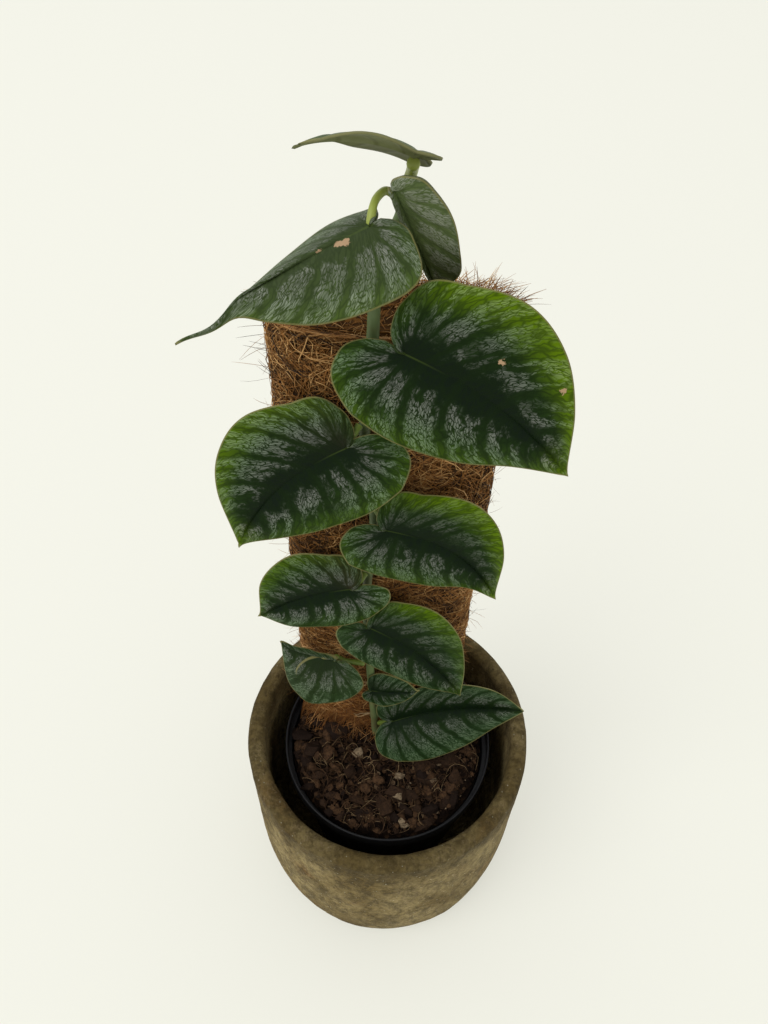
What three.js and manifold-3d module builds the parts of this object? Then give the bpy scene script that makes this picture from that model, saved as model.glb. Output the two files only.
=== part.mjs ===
// Potted shingle plant: a climbing vine with heart-shaped leaves on a coir-wrapped board,
// rooted in a plastic pot that stands inside a thick clay planter.
// Millimetres, +Z up, origin at the middle of the planter's base, leaves towards -Y.

import * as THREE from "three";
import { mergeVertices } from "three/addons/utils/BufferGeometryUtils.js";
import Module from "manifold-3d";

const wasm = await Module();
wasm.setup();

// Driving dimensions

const CLEARANCE = 0.3; // gap kept between pieces that touch

const PLANTER = {
  height: 140,
  footRadius: 73.4,
  bellyRadius: 81,
  rimRadius: 80,
  mouthRadius: 70.4,
  curveHeight: 59,
  curveStart: -1.2, // where the belly's curve starts at the foot, in radians
  footRounding: 5,
  floor: 10,
  insideStep: 8, // how far and how high the inside's lower edge is cut off
  insideRise: 14,
  throat: 0.5, // how much wider the wall is at the belly than at the rim
  segments: 40,
};

const NURSERY_POT = {
  rimRadius: 59.7,
  rimHeight: 125.5,
  lipDepth: 8,
  lipStep: 2,
  footRadius: 44,
  wall: 1.4,
  drainRadius: 4,
  drainCircle: 28,
  drains: 5,
  drainSides: 12,
  edge: 0.7, // bevel on the lip's outer edge
  segments: 40,
};

const SOIL = {
  level: 119,
  lump: 2.6,
  chips: 34,
  chipSize: [4, 9],
  chipHeight: [3, 5],
  chipSpread: 50,
  chipTilt: 0.6,
  chipSink: [-0.6, 0.5],
  roots: 9,
  rootRadius: 0.7,
  rootHalfLength: [5, 9],
  rootDip: 1.6, // how deep a root's ends dip into the soil
  rootRise: 1.2,
  rings: 8,
  segments: 32,
};

const BOARD = {
  centre: [-4.6, 28],
  halfWidth: 43.4,
  halfDepth: 16.5,
  top: 405,
  bottom: 111,
  squareness: 2.3, // 2 is an ellipse, more is squarer
  relief: 1,
  topRounding: 2.5,
  bulge: 45.5, // half width where the mat spreads just above the pot's rim
  settle: [6, 56], // heights above the rim between which that spread goes down
  strays: 90,
  strayReach: [5, 13],
  shortReach: [2.5, 3.5], // strays on the front, behind the leaves
  strayClimb: 8,
  strayMargin: 12, // how far the strays on the front keep off the stem
  tufts: 34,
  tuftHeight: [3, 8],
  tuftInset: [-14, -4],
  tuftLean: [-2, 7],
  tuftMargin: 6,
  fibreRadius: 0.7,
  rows: 22,
  segments: 30,
};

const CORE = { halfWidth: 26, halfDepth: 4, bottom: 36, top: 398 };

const STEM = {
  radius: 2.3,
  sides: 7,
  steps: 32,
  path: [
    [-6, 4.5, 96],
    [-7.5, 6.2, 126],
    [-9.5, 7.4, 165],
    [-11.5, 7.5, 215],
    [-12.5, 7.5, 268],
    [-9.5, 7.5, 315],
    [-13.5, 7.5, 364],
    [-11, 7.5, 404],
    [-9.9, 12.2, 423],
    [-6.4, 19.6, 434],
    [-2.6, 23.2, 442.5],
    [-1.9, 22.6, 450],
  ],
  rootHeights: [140, 176, 206, 240, 285, 300, 338, 350, 384, 396],
  rootRadius: 0.7,
  rootReach: [6, 11],
  rootDrop: [1, 7],
  rootSides: 4,
  rootSteps: 3,
};

const BLADE = {
  thickness: 0.9,
  rimThickness: 0.65,
  rows: 14,
  columns: 3,
  lobeShare: 0.38, // the share of a half's outline whose side veins start at the stalk
  veinSpread: 1.5, // more crowds the side veins' starts towards the stalk
  cornerFrom: 0.5, // how far across a lobe its corner starts, as a share of the half's width
  shoulder: 0.22, // where along the blade each half is widest and its slender part starts
  tailShare: 0.06, // the narrow tail's half width, as a share of the half's width
  tailEdge: 0.4,
  sagStart: 0.6, // where along the blade the tail's sag starts
};

const PETIOLE = { radius: 1.5, sides: 6, steps: 6 };

// Half of a heart-shaped leaf, from the notch round one lobe to the tip,
// as shares of the length from the stalk to the tip and of the half width.
// A negative share along the leaf is scaled by the leaf's own lobe.
const HALF_HEART = [
  [-0.4, 0],
  [-0.8, 0.14],
  [-1, 0.4],
  [-0.6, 0.76],
  [BLADE.shoulder, 1],
  [0.54, 0.79],
  [0.8, 0.36],
  [1, 0],
];

// Each leaf: where its stalk meets the blade, where its tip is, and which way its face looks;
// the half widths on its left and right, seen from its face with the tip ahead;
// how far each lobe reaches back, and how much fuller its corner is than a plain heart's;
// how slender each half is towards the tip (less is fuller);
// how far the midrib bows and its tail sags to the left; the length of that narrow tail;
// how far the midrib curls under along its length, and how far each half folds back from it,
// both in radians; how high each half arches; and the way points of its petiole,
// which starts beside the stem.
const LEAVES = {
  leaf_01: {
    base: [0, 14.8, 463.7],
    tip: [-33.5, 14.5, 465.4],
    faces: [0, 0.63, 0.77],
    halves: [11.9, 15.2],
    lobes: [7.6, 5.5],
    full: [0.57, 1.82],
    bow: 6.9,
    sag: 0,
    tail: 5,
    curl: 0.33,
    fold: [0.11, -0.11],
    arch: 0.8,
    petiole: [
      [-1.7, 22.3, 450.8],
      [-0.3, 19.9, 456.5],
    ],
    petioleRadius: 1.9,
  },
  leaf_02: {
    base: [-12, 4, 448.7],
    tip: [-70, -9.5, 416.3],
    faces: [-0.16, -0.77, 0.62],
    halves: [21.5, 15],
    lobes: [9.2, 3.6],
    corner: [0.16, 0],
    full: [0.76, 2.2],
    bow: -1.5,
    sag: 2.6,
    tail: 18.3,
    curl: 0.1,
    fold: [0.3, 1.0],
    arch: 2,
    petiole: [
      [-2.3, 18.9, 447.5],
      [-7.2, 16.5, 452.6],
      [-9.9, 12, 453.1],
      [-11.1, 8.2, 452.1],
    ],
    petioleRadius: 1.3,
  },
  leaf_03: {
    base: [-5.3, 8, 457.4],
    tip: [11.3, 36.8, 405.5],
    faces: [-0.25, -0.8, -0.5],
    halves: [14.4, 1.8],
    lobes: [7.4, 0.9],
    full: [0.36, 0.3],
    bow: 0.3,
    sag: 0,
    tail: 2,
    curl: 0.05,
    fold: [0.05, 0.05],
    arch: 1.5,
    petiole: [
      [1.5, 21.6, 447.4],
      [1.4, 15.4, 456],
    ],
  },
  leaf_04: {
    base: [-0.4, -1, 407.7],
    tip: [59.7, -6.8, 359],
    faces: [0.07, -0.98, 0.19],
    halves: [32.8, 31.6],
    lobes: [11.9, 16.7],
    full: [0.7, 0.9],
    bow: 4.9,
    sag: 0,
    tail: 4,
    curl: 0.15,
    fold: [0.05, 0.05],
    arch: 2,
    petiole: [
      [-9.6, 5.1, 405.5],
      [-5.2, 1.3, 406.3],
    ],
  },
  leaf_05: {
    base: [-20, -1, 365],
    tip: [-63.4, -8, 314.9],
    faces: [-0.07, -0.98, 0.19],
    halves: [30.5, 29.5],
    lobes: [15, 10.5],
    full: [0.8, 0.57],
    bow: -6.5,
    sag: 0,
    tail: 4,
    curl: 0.15,
    fold: [0.05, 0.05],
    arch: 2,
    petiole: [
      [-15.2, 4.7, 371.0],
      [-17.5, 1.5, 369],
    ],
  },
  leaf_06: {
    base: [-4.6, -1.2, 319],
    tip: [44.1, -4.5, 276.6],
    faces: [0.1, -0.98, 0.19],
    halves: [24.8, 26.6],
    lobes: [10, 11.4],
    full: [0.6, 1.05],
    bow: 8.5,
    sag: 0,
    tail: 4,
    curl: 0.15,
    fold: [0.05, 0.05],
    arch: 2,
    petiole: [
      [-8.6, 5.2, 323.9],
      [-6.5, 1.5, 323.5],
    ],
  },
  leaf_07: {
    base: [-20, -0.8, 276.7],
    tip: [-62.7, -1, 253.7],
    faces: [-0.1, -0.98, 0.19],
    halves: [21.8, 23.8],
    lobes: [15.5, 9.8],
    full: [0.45, 0.47],
    bow: -3.4,
    sag: 0,
    tail: 3,
    curl: 0.15,
    fold: [0.05, 0.05],
    arch: 2,
    petiole: [
      [-13.3, 4.9, 281.1],
      [-15.5, 1.5, 280],
    ],
  },
  leaf_08: {
    base: [-10.8, -2.3, 247.4],
    tip: [35.5, -11.1, 199.3],
    faces: [0.07, -0.97, 0.24],
    halves: [24.8, 21],
    lobes: [5.6, 10],
    full: [0.75, 0.66],
    bow: 5.2,
    sag: 0,
    tail: 3,
    curl: 0.15,
    fold: [0.05, 0.05],
    arch: 2,
    petiole: [
      [-11.8, 4.7, 252.1],
      [-11, 1.2, 251.5],
    ],
  },
  leaf_09: {
    base: [-28.7, 0.9, 213],
    tip: [-56.6, 8.7, 215.6],
    faces: [-0.4, -0.85, 0.34],
    halves: [35.2, 1.8],
    lobes: [17.3, 1.4],
    full: [0.4, 0.62],
    bow: 1.1,
    sag: 0,
    tail: 1.5,
    curl: 0.1,
    fold: [0.05, 0.3],
    arch: 2,
    petiole: [
      [-14.0, 6.4, 199.1],
      [-23, 5.5, 203],
    ],
  },
  leaf_10: {
    base: [-9.4, -0.4, 182.2],
    tip: [15.9, -0.2, 183.3],
    faces: [0, -0.87, 0.5],
    halves: [10.8, 9],
    lobes: [2.2, 5.6],
    full: [0.6, 0.66],
    bow: -1,
    sag: 0,
    tail: 2,
    curl: 0.2,
    fold: [0.1, 0.1],
    arch: 1,
    petiole: [
      [-10.4, 3.3, 175.5],
      [-10.4, 1.6, 179],
    ],
  },
  leaf_11: {
    base: [3.2, -0.6, 147.2],
    tip: [77.2, 6.4, 148.4],
    faces: [0.07, -0.52, 0.85],
    halves: [18.6, 26.7],
    lobes: [9, 11.7],
    full: [0.48, 0.88],
    bow: 4.4,
    sag: 0,
    tail: 2.2,
    curl: 0.3,
    fold: [-0.6, 0.2],
    arch: 2,
    petiole: [
      [-5.1, 4.3, 134.0],
      [-1, 1.6, 141],
    ],
  },
};

const FINISH = {
  clay: { color: 0x6d6445, roughness: 0.85 },
  plastic: { color: 0x17191a, roughness: 0.45 },
  soil: { color: 0x33221a, roughness: 1 },
  coir: { color: 0x8a5a32, roughness: 0.95 },
  wood: { color: 0xa88458, roughness: 0.8 },
  stem: { color: 0x6f8450, roughness: 0.55 },
  leaf: { color: 0x2b4a2c, roughness: 0.45 },
};

// Helpers

// Repeatable random numbers from 0 to 1.
function seededRandom(seed) {
  let state = seed;
  return () => {
    state = (state + 0x6d2b79f5) | 0;
    let mixed = Math.imul(state ^ (state >>> 15), 1 | state);
    mixed = (mixed + Math.imul(mixed ^ (mixed >>> 7), 61 | mixed)) ^ mixed;
    return ((mixed ^ (mixed >>> 14)) >>> 0) / 4294967296;
  };
}

function between(random, low, high) {
  return low + (high - low) * random();
}

function point(values) {
  return new THREE.Vector3(...values);
}

function toSolid(geometry) {
  const bare = geometry.clone();
  bare.deleteAttribute("normal");
  bare.deleteAttribute("uv");
  const merged = mergeVertices(bare, 1e-4);
  return new wasm.Manifold(
    new wasm.Mesh({
      numProp: 3,
      vertProperties: merged.attributes.position.array,
      triVerts: new Uint32Array(merged.index.array),
    }),
  );
}

function toGeometry(solid) {
  const mesh = solid.getMesh();
  const geometry = new THREE.BufferGeometry();
  geometry.setAttribute("position", new THREE.BufferAttribute(mesh.vertProperties, 3));
  geometry.setIndex(new THREE.BufferAttribute(mesh.triVerts, 1));
  geometry.computeVertexNormals();
  return geometry;
}

// The largest body of a solid, without loose scraps.
function mainBody(solid) {
  return solid.decompose().reduce((a, b) => (a.volume() > b.volume() ? a : b));
}

function makeMesh(name, geometry, finish) {
  const mesh = new THREE.Mesh(geometry, new THREE.MeshStandardMaterial({ ...finish, metalness: 0 }));
  mesh.name = name;
  return mesh;
}

// A round rod along a smooth curve through the way points.
function rod(wayPoints, radius, sides, steps) {
  const section = new THREE.Shape();
  for (let i = 0; i < sides; i += 1) {
    const angle = (i / sides) * 2 * Math.PI;
    const place = [radius * Math.cos(angle), radius * Math.sin(angle)];
    if (i === 0) section.moveTo(...place);
    else section.lineTo(...place);
  }
  const path = new THREE.CatmullRomCurve3(wayPoints.map(point));
  return new THREE.ExtrudeGeometry(section, { steps, extrudePath: path });
}

// A three-sided fibre from a root to a tip.
function spike(root, tip, radius) {
  const length = root.distanceTo(tip);
  const cone = new THREE.ConeGeometry(radius, length, 3, 1);
  cone.translate(0, length / 2, 0);
  const up = new THREE.Vector3(0, 1, 0);
  const aim = tip.clone().sub(root).normalize();
  cone.applyQuaternion(new THREE.Quaternion().setFromUnitVectors(up, aim));
  cone.translate(root.x, root.y, root.z);
  return cone;
}

// A lathe turned about Z from a profile of [radius, height] that starts and ends on the axis.
function turned(profile, segments) {
  const lathe = new THREE.LatheGeometry(
    profile.map(([radius, height]) => new THREE.Vector2(radius, height)),
    segments,
  );
  return lathe.rotateX(Math.PI / 2);
}

// Points on a quarter or part of an ellipse, from one angle to another.
function arcPoints(centre, radii, from, to, count) {
  return Array.from({ length: count + 1 }, (_, i) => {
    const angle = from + ((to - from) * i) / count;
    return [centre[0] + radii[0] * Math.cos(angle), centre[1] + radii[1] * Math.sin(angle)];
  });
}

// Planter

function planter() {
  const p = PLANTER;
  const wall = p.rimRadius - p.mouthRadius;
  const foot = p.footRounding;
  const side = p.bellyRadius - p.footRadius;
  const outside = [
    ...arcPoints([p.footRadius - foot, foot], [foot, foot], -Math.PI / 2, -Math.PI / 8, 3),
    ...arcPoints([p.footRadius, p.curveHeight], [side, p.curveHeight - foot], p.curveStart, 0, 5),
  ];
  const lip = arcPoints(
    [p.mouthRadius + wall / 2, p.height - wall / 2],
    [wall / 2, wall / 2],
    0,
    Math.PI,
    6,
  );
  const insideFoot = p.footRadius - wall - p.insideStep;
  const inside = [
    [p.bellyRadius - wall - p.throat, p.curveHeight],
    [p.footRadius - wall, p.floor + p.insideRise],
    [insideFoot, p.floor],
  ];
  return turned([[0, 0], ...outside, ...lip, ...inside, [0, p.floor]], p.segments);
}

// Nursery pot

function nurseryPot() {
  const p = NURSERY_POT;
  const bottom = PLANTER.floor + CLEARANCE;
  const lipBottom = p.rimHeight - p.lipDepth;
  const bodyRadius = p.rimRadius - p.lipStep;
  const profile = [
    [0, bottom],
    [p.footRadius, bottom],
    [bodyRadius, lipBottom],
    [p.rimRadius, lipBottom],
    [p.rimRadius, p.rimHeight - p.edge],
    [p.rimRadius - p.edge, p.rimHeight],
    [p.rimRadius - p.wall, p.rimHeight],
    [bodyRadius - p.wall, lipBottom],
    [p.footRadius - p.wall, bottom + p.wall],
    [0, bottom + p.wall],
  ];
  let solid = toSolid(turned(profile, p.segments));
  for (let i = 0; i < p.drains; i += 1) {
    const angle = (i / p.drains) * 2 * Math.PI;
    const deep = 4 * p.wall;
    const hole = new THREE.CylinderGeometry(p.drainRadius, p.drainRadius, deep, p.drainSides);
    hole.rotateX(Math.PI / 2);
    hole.translate(p.drainCircle * Math.cos(angle), p.drainCircle * Math.sin(angle), bottom);
    solid = solid.subtract(toSolid(hole));
  }
  return toGeometry(solid);
}

// Board wrapped in coir

// The mat's half width at a height: wider just above the pot's rim, even further up.
function boardHalfWidth(z) {
  const rim = NURSERY_POT.rimHeight;
  const settle = THREE.MathUtils.smoothstep(z, rim + BOARD.settle[0], rim + BOARD.settle[1]);
  return BOARD.bulge + (BOARD.halfWidth - BOARD.bulge) * settle;
}

// A place on the mat's side, at an angle round it and a height, pushed out by some millimetres.
// Below the pot's rim the pot's wall presses the mat in.
function boardSide(angle, z, out = 0) {
  const power = 2 / BOARD.squareness;
  const across = Math.sign(Math.cos(angle)) * Math.abs(Math.cos(angle)) ** power;
  const deep = Math.sign(Math.sin(angle)) * Math.abs(Math.sin(angle)) ** power;
  const place = new THREE.Vector3(
    BOARD.centre[0] + (boardHalfWidth(z) + out) * across,
    BOARD.centre[1] + (BOARD.halfDepth + out) * deep,
    0,
  );
  if (z <= NURSERY_POT.rimHeight + 1) place.clampLength(0, soilRadius(BOARD.bottom) - 1.4 + out);
  return place.setZ(z);
}

// A closed body lofted through rings of points, with a fan at each end.
function loft(rings) {
  const count = rings[0].length;
  const positions = rings.flat().flatMap((p) => [p.x, p.y, p.z]);
  const index = [];
  for (let row = 0; row + 1 < rings.length; row += 1) {
    for (let i = 0; i < count; i += 1) {
      const a = row * count + i;
      const b = row * count + ((i + 1) % count);
      index.push(a, b, b + count, a, b + count, a + count);
    }
  }
  const ends = [rings[0], rings[rings.length - 1]];
  ends.forEach((ring, end) => {
    const middle = ring.reduce((sum, p) => sum.add(p), new THREE.Vector3());
    middle.divideScalar(count);
    const hub = positions.length / 3;
    positions.push(middle.x, middle.y, middle.z);
    const first = end === 0 ? 0 : (rings.length - 1) * count;
    for (let i = 0; i < count; i += 1) {
      const a = first + i;
      const b = first + ((i + 1) % count);
      if (end === 0) index.push(hub, b, a);
      else index.push(hub, a, b);
    }
  });
  const geometry = new THREE.BufferGeometry();
  geometry.setAttribute("position", new THREE.Float32BufferAttribute(positions, 3));
  geometry.setIndex(index);
  return geometry;
}

function coreBox(grow, bottom, top) {
  const box = new THREE.BoxGeometry(
    2 * (CORE.halfWidth + grow),
    2 * (CORE.halfDepth + grow),
    top - bottom,
  );
  return box.translate(...BOARD.centre, (top + bottom) / 2);
}

// True where the stem runs close in front of the mat, so that nothing may stand out there.
function nearStem(place, margin) {
  const stem = stemAt(place.z);
  return place.y < BOARD.centre[1] && Math.abs(place.x - stem.x) < STEM.radius + margin;
}

function coirSleeve() {
  const random = seededRandom(7);
  const rings = [];
  const pressedTop = NURSERY_POT.rimHeight + 1;
  const freeBottom = pressedTop + 4;
  const heights = [BOARD.bottom, pressedTop];
  for (let row = 0; row <= BOARD.rows; row += 1) {
    heights.push(freeBottom + ((BOARD.top - freeBottom) * row) / BOARD.rows);
  }
  heights.forEach((z, row) => {
    const ring = [];
    for (let i = 0; i < BOARD.segments; i += 1) {
      const angle = ((i + 0.5 * (row % 2)) / BOARD.segments) * 2 * Math.PI;
      const loose = z > pressedTop ? BOARD.relief * between(random, -1, 0.6) : 0;
      const rounding = z === BOARD.top ? -BOARD.topRounding : 0;
      ring.push(boardSide(angle, z, rounding + loose));
    }
    rings.push(ring);
  });
  let solid = toSolid(loft(rings));
  const fibres = [];
  for (let i = 0; i < BOARD.strays; i += 1) {
    const z = between(random, NURSERY_POT.rimHeight + 14, BOARD.top - 4);
    const angle = between(random, 0, 2 * Math.PI);
    const root = boardSide(angle, z, -2);
    const edge = Math.abs(Math.cos(angle)) > 0.85 || Math.sin(angle) > 0;
    const reach = between(random, ...(edge ? BOARD.strayReach : BOARD.shortReach));
    const tip = boardSide(angle + between(random, -0.12, 0.12), z, reach);
    tip.z += between(random, -BOARD.strayClimb, BOARD.strayClimb);
    if (!nearStem(root, BOARD.strayMargin) || edge) fibres.push(spike(root, tip, BOARD.fibreRadius));
  }
  for (let i = 0; i < BOARD.tufts; i += 1) {
    const angle = between(random, 0, 2 * Math.PI);
    const inset = between(random, ...BOARD.tuftInset);
    const root = boardSide(angle, BOARD.top - 2, inset);
    const tip = boardSide(angle, BOARD.top, inset + between(random, ...BOARD.tuftLean));
    tip.z += between(random, ...BOARD.tuftHeight);
    if (!nearStem(root, BOARD.tuftMargin)) fibres.push(spike(root, tip, BOARD.fibreRadius));
  }
  for (const fibre of fibres) solid = solid.add(toSolid(fibre));
  const pocket = coreBox(CLEARANCE, BOARD.bottom - 1, CORE.top + CLEARANCE);
  return toGeometry(mainBody(solid.subtract(toSolid(pocket))));
}

// Stem

const stemPlaces = new THREE.CatmullRomCurve3(STEM.path.map(point)).getSpacedPoints(400);

// The stem's middle at a height.
function stemAt(z) {
  return stemPlaces.reduce((a, b) => (Math.abs(a.z - z) <= Math.abs(b.z - z) ? a : b));
}

function stem() {
  const random = seededRandom(21);
  let solid = toSolid(rod(STEM.path, STEM.radius, STEM.sides, STEM.steps));
  STEM.rootHeights.forEach((z, i) => {
    const start = stemAt(z);
    const side = i % 2 === 0 ? 1 : -1;
    const reach = between(random, ...STEM.rootReach);
    const drop = between(random, ...STEM.rootDrop);
    const root = [
      [start.x, start.y, start.z],
      [start.x + side * reach * 0.5, start.y + 0.4, start.z - drop * 0.3],
      [start.x + side * reach, start.y + 0.6, start.z - drop],
    ];
    solid = solid.add(toSolid(rod(root, STEM.rootRadius, STEM.rootSides, STEM.rootSteps)));
  });
  return toGeometry(mainBody(solid));
}

// Soil

function soilHeight(x, y) {
  const coarse = Math.sin(x * 0.21 + 1.3) * Math.cos(y * 0.17 - 0.6);
  const fine = Math.sin(x * 0.63 - y * 0.41) * Math.cos(y * 0.71 + x * 0.2);
  return SOIL.level + SOIL.lump * (0.6 * coarse + 0.5 * fine);
}

function soilRadius(z) {
  const p = NURSERY_POT;
  const lipBottom = p.rimHeight - p.lipDepth;
  const bottom = PLANTER.floor + CLEARANCE;
  const share = Math.min(1, (z - bottom) / (lipBottom - bottom));
  const body = p.footRadius + (p.rimRadius - p.lipStep - p.footRadius) * share;
  return body - p.wall - 2 * CLEARANCE;
}

function soil() {
  const random = seededRandom(3);
  const bottom = PLANTER.floor + NURSERY_POT.wall + 2 * CLEARANCE;
  const edge = NURSERY_POT.rimHeight - NURSERY_POT.lipDepth - 2;
  const rings = [];
  const round = (radius, height) =>
    Array.from({ length: SOIL.segments }, (_, i) => {
      const angle = (i / SOIL.segments) * 2 * Math.PI;
      const x = radius * Math.cos(angle);
      const y = radius * Math.sin(angle);
      return new THREE.Vector3(x, y, height === null ? soilHeight(x, y) : height);
    });
  rings.push(round(soilRadius(bottom), bottom));
  rings.push(round(soilRadius(edge), edge));
  for (let ring = 0; ring < SOIL.rings; ring += 1) {
    const share = 1 - (0.94 * ring) / (SOIL.rings - 1);
    rings.push(round((soilRadius(edge) - 0.4) * share, ring === 0 ? edge + 1.5 : null));
  }
  let solid = toSolid(loft(rings));
  const clear = boardSolid(4);
  for (let i = 0; i < SOIL.chips; i += 1) {
    const angle = between(random, 0, 2 * Math.PI);
    const radius = SOIL.chipSpread * Math.sqrt(random());
    const x = radius * Math.cos(angle);
    const y = radius * Math.sin(angle);
    const long = between(random, ...SOIL.chipSize);
    const wide = long * between(random, 0.5, 0.9);
    const chip = new THREE.BoxGeometry(long, wide, between(random, ...SOIL.chipHeight));
    chip.rotateX(between(random, -SOIL.chipTilt, SOIL.chipTilt));
    chip.rotateY(between(random, -SOIL.chipTilt, SOIL.chipTilt));
    chip.rotateZ(between(random, 0, Math.PI));
    chip.translate(x, y, soilHeight(x, y) + between(random, ...SOIL.chipSink));
    solid = solid.add(toSolid(chip).subtract(clear));
  }
  for (let i = 0; i < SOIL.roots; i += 1) {
    const x = between(random, -38, 38);
    const y = between(random, -44, 0);
    const turn = between(random, 0, Math.PI);
    const half = between(random, ...SOIL.rootHalfLength);
    const dx = half * Math.cos(turn);
    const dy = half * Math.sin(turn);
    const root = [
      [x - dx, y - dy, soilHeight(x - dx, y - dy) - SOIL.rootDip],
      [x, y, soilHeight(x, y) + SOIL.rootRise],
      [x + dx, y + dy, soilHeight(x + dx, y + dy) - SOIL.rootDip],
    ];
    solid = solid.add(toSolid(rod(root, SOIL.rootRadius, 4, 4)));
  }
  const holes = [
    boardSolid(CLEARANCE + 0.2),
    toSolid(coreBox(CLEARANCE, CORE.bottom - CLEARANCE, SOIL.level)),
    toSolid(rod(STEM.path.map(([x, y, z]) => [x, y, z - 1]), STEM.radius + 0.5, 10, STEM.steps)),
  ];
  for (const hole of holes) solid = solid.subtract(hole);
  return toGeometry(mainBody(solid));
}

// The mat's plain outline, grown by some millimetres, from just under it to above the soil.
function boardSolid(grow) {
  const rings = [BOARD.bottom - CLEARANCE, SOIL.level + 12].map((z) =>
    Array.from({ length: BOARD.segments * 2 }, (_, i) => {
      const place = boardSide((i / BOARD.segments) * Math.PI, BOARD.bottom, grow);
      return place.setZ(z);
    }),
  );
  return toSolid(loft(rings));
}

// Leaves

// Half of the leaf's outline, as [along, across] in millimetres, from the notch to the tip.
function halfOutline(leaf, side, length) {
  const body = length - leaf.tail;
  const lobe = leaf.lobes[side];
  const half = leaf.halves[side];
  const corner = leaf.corner ? leaf.corner[side] : 0;
  const points = HALF_HEART.map(([along, across]) => {
    const x = along < 0 ? along * lobe : along * body;
    const isCorner = along < 0 && across > BLADE.cornerFrom;
    const lobed = isCorner ? across + corner : across;
    const full = along > BLADE.shoulder ? across ** leaf.full[side] : lobed;
    return new THREE.Vector2(x, full * half);
  });
  const tailHalfWidth = BLADE.tailShare * half + BLADE.tailEdge;
  points.pop();
  points.push(new THREE.Vector2(body, tailHalfWidth));
  points.push(new THREE.Vector2(length, 0));
  return new THREE.SplineCurve(points).getSpacedPoints(BLADE.rows);
}

// Where on the midrib the side vein starts that ends at a share of the half outline.
function veinStart(share, length) {
  const beyond = Math.max(0, (share - BLADE.lobeShare) / (1 - BLADE.lobeShare));
  return length * beyond ** BLADE.veinSpread;
}

function bladeShape(leaf) {
  const base = point(leaf.base);
  const tip = point(leaf.tip);
  const chord = base.distanceTo(tip);
  const curl = leaf.curl;
  const length = (chord * curl) / 2 / Math.sin(curl / 2);
  const along = tip.clone().sub(base).normalize();
  const face = point(leaf.faces);
  face.addScaledVector(along, -face.dot(along)).normalize();
  const left = face.clone().cross(along);
  // A flat place [x, y] on the leaf, bent, folded and arched into the space of the plant.
  const place = (x, y, share, side) => {
    const turn = curl * (Math.max(0, x) / length - 0.5);
    const arc = length / curl;
    const ahead = arc * (Math.sin(turn) + Math.sin(curl / 2)) + Math.min(0, x) * Math.cos(curl / 2);
    const drop = arc * (Math.cos(turn) - Math.cos(curl / 2)) + Math.min(0, x) * Math.sin(curl / 2);
    const fold = leaf.fold[side];
    const arch = leaf.arch * Math.sin(Math.PI * share) * Math.min(1, 4 * (1 - x / length));
    const out = arch - Math.abs(y) * Math.sin(fold);
    const bowShare = Math.min(1, Math.max(0, x / length));
    const tailShare = Math.max(0, bowShare - BLADE.sagStart) / (1 - BLADE.sagStart);
    const sag = leaf.sag * Math.sin(Math.PI * tailShare) ** 2;
    const bow = 4 * leaf.bow * bowShare * (1 - bowShare) + sag;
    const result = base.clone();
    result.addScaledVector(along, ahead + out * Math.sin(turn));
    result.addScaledVector(left, y * Math.cos(fold) + bow);
    result.addScaledVector(face, drop + out * Math.cos(turn));
    return result;
  };
  return { length, place };
}

function blade(leaf) {
  const { length, place } = bladeShape(leaf);
  const rows = BLADE.rows;
  const columns = BLADE.columns;
  const middle = [];
  const known = new Map();
  const outlines = [0, 1].map((side) => halfOutline(leaf, side, length));
  // The two halves share the midrib, the line from the stalk to the notch, and the tip.
  const vertex = (side, row, column) => {
    const start = veinStart(row / rows, length);
    const shared = row === 0 || row === rows || column === 0;
    let key = `${shared ? "both" : side} ${row} ${column}`;
    if (row === rows) key = "tip";
    else if (column === 0 && start === 0) key = "stalk";
    if (!known.has(key)) {
      const edge = outlines[side][row];
      const share = row === rows ? 0 : column / columns;
      const x = row === rows ? length : start + (edge.x - start) * share;
      const y = (side === 0 ? 1 : -1) * edge.y * share;
      known.set(key, middle.length);
      middle.push(place(x, y, row === 0 ? 0 : share, side));
    }
    return known.get(key);
  };
  const faces = [];
  const addFace = (a, b, c, flip) => {
    if (a === b || b === c || a === c) return;
    faces.push(flip ? [a, c, b] : [a, b, c]);
  };
  const rim = [];
  for (const side of [0, 1]) {
    for (let row = 0; row < rows; row += 1) {
      for (let column = 0; column < columns; column += 1) {
        const a = vertex(side, row, column);
        const b = vertex(side, row + 1, column);
        const c = vertex(side, row + 1, column + 1);
        const d = vertex(side, row, column + 1);
        addFace(a, b, c, side === 1);
        addFace(a, c, d, side === 1);
      }
      const from = vertex(side, row, columns);
      const to = vertex(side, row + 1, columns);
      rim.push(side === 0 ? [from, to] : [to, from]);
    }
  }
  const sheet = new THREE.BufferGeometry();
  const flat = middle.flatMap((p) => [p.x, p.y, p.z]);
  sheet.setAttribute("position", new THREE.Float32BufferAttribute(flat, 3));
  sheet.setIndex(faces.flat());
  sheet.computeVertexNormals();
  const normals = sheet.attributes.normal;
  const onRim = new Set(rim.flat());
  const layer = (direction) =>
    middle.flatMap((p, i) => {
      const thickness = onRim.has(i) ? BLADE.rimThickness : BLADE.thickness;
      const shift = (direction * thickness) / 2;
      return [
        p.x + shift * normals.getX(i),
        p.y + shift * normals.getY(i),
        p.z + shift * normals.getZ(i),
      ];
    });
  const count = middle.length;
  const index = faces.flat();
  for (const [a, b, c] of faces) index.push(a + count, c + count, b + count);
  for (const [a, b] of rim) index.push(a, b, a + count, b, b + count, a + count);
  const solid = new THREE.BufferGeometry();
  solid.setAttribute(
    "position",
    new THREE.Float32BufferAttribute([...layer(1), ...layer(-1)], 3),
  );
  solid.setIndex(index);
  return solid;
}

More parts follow.
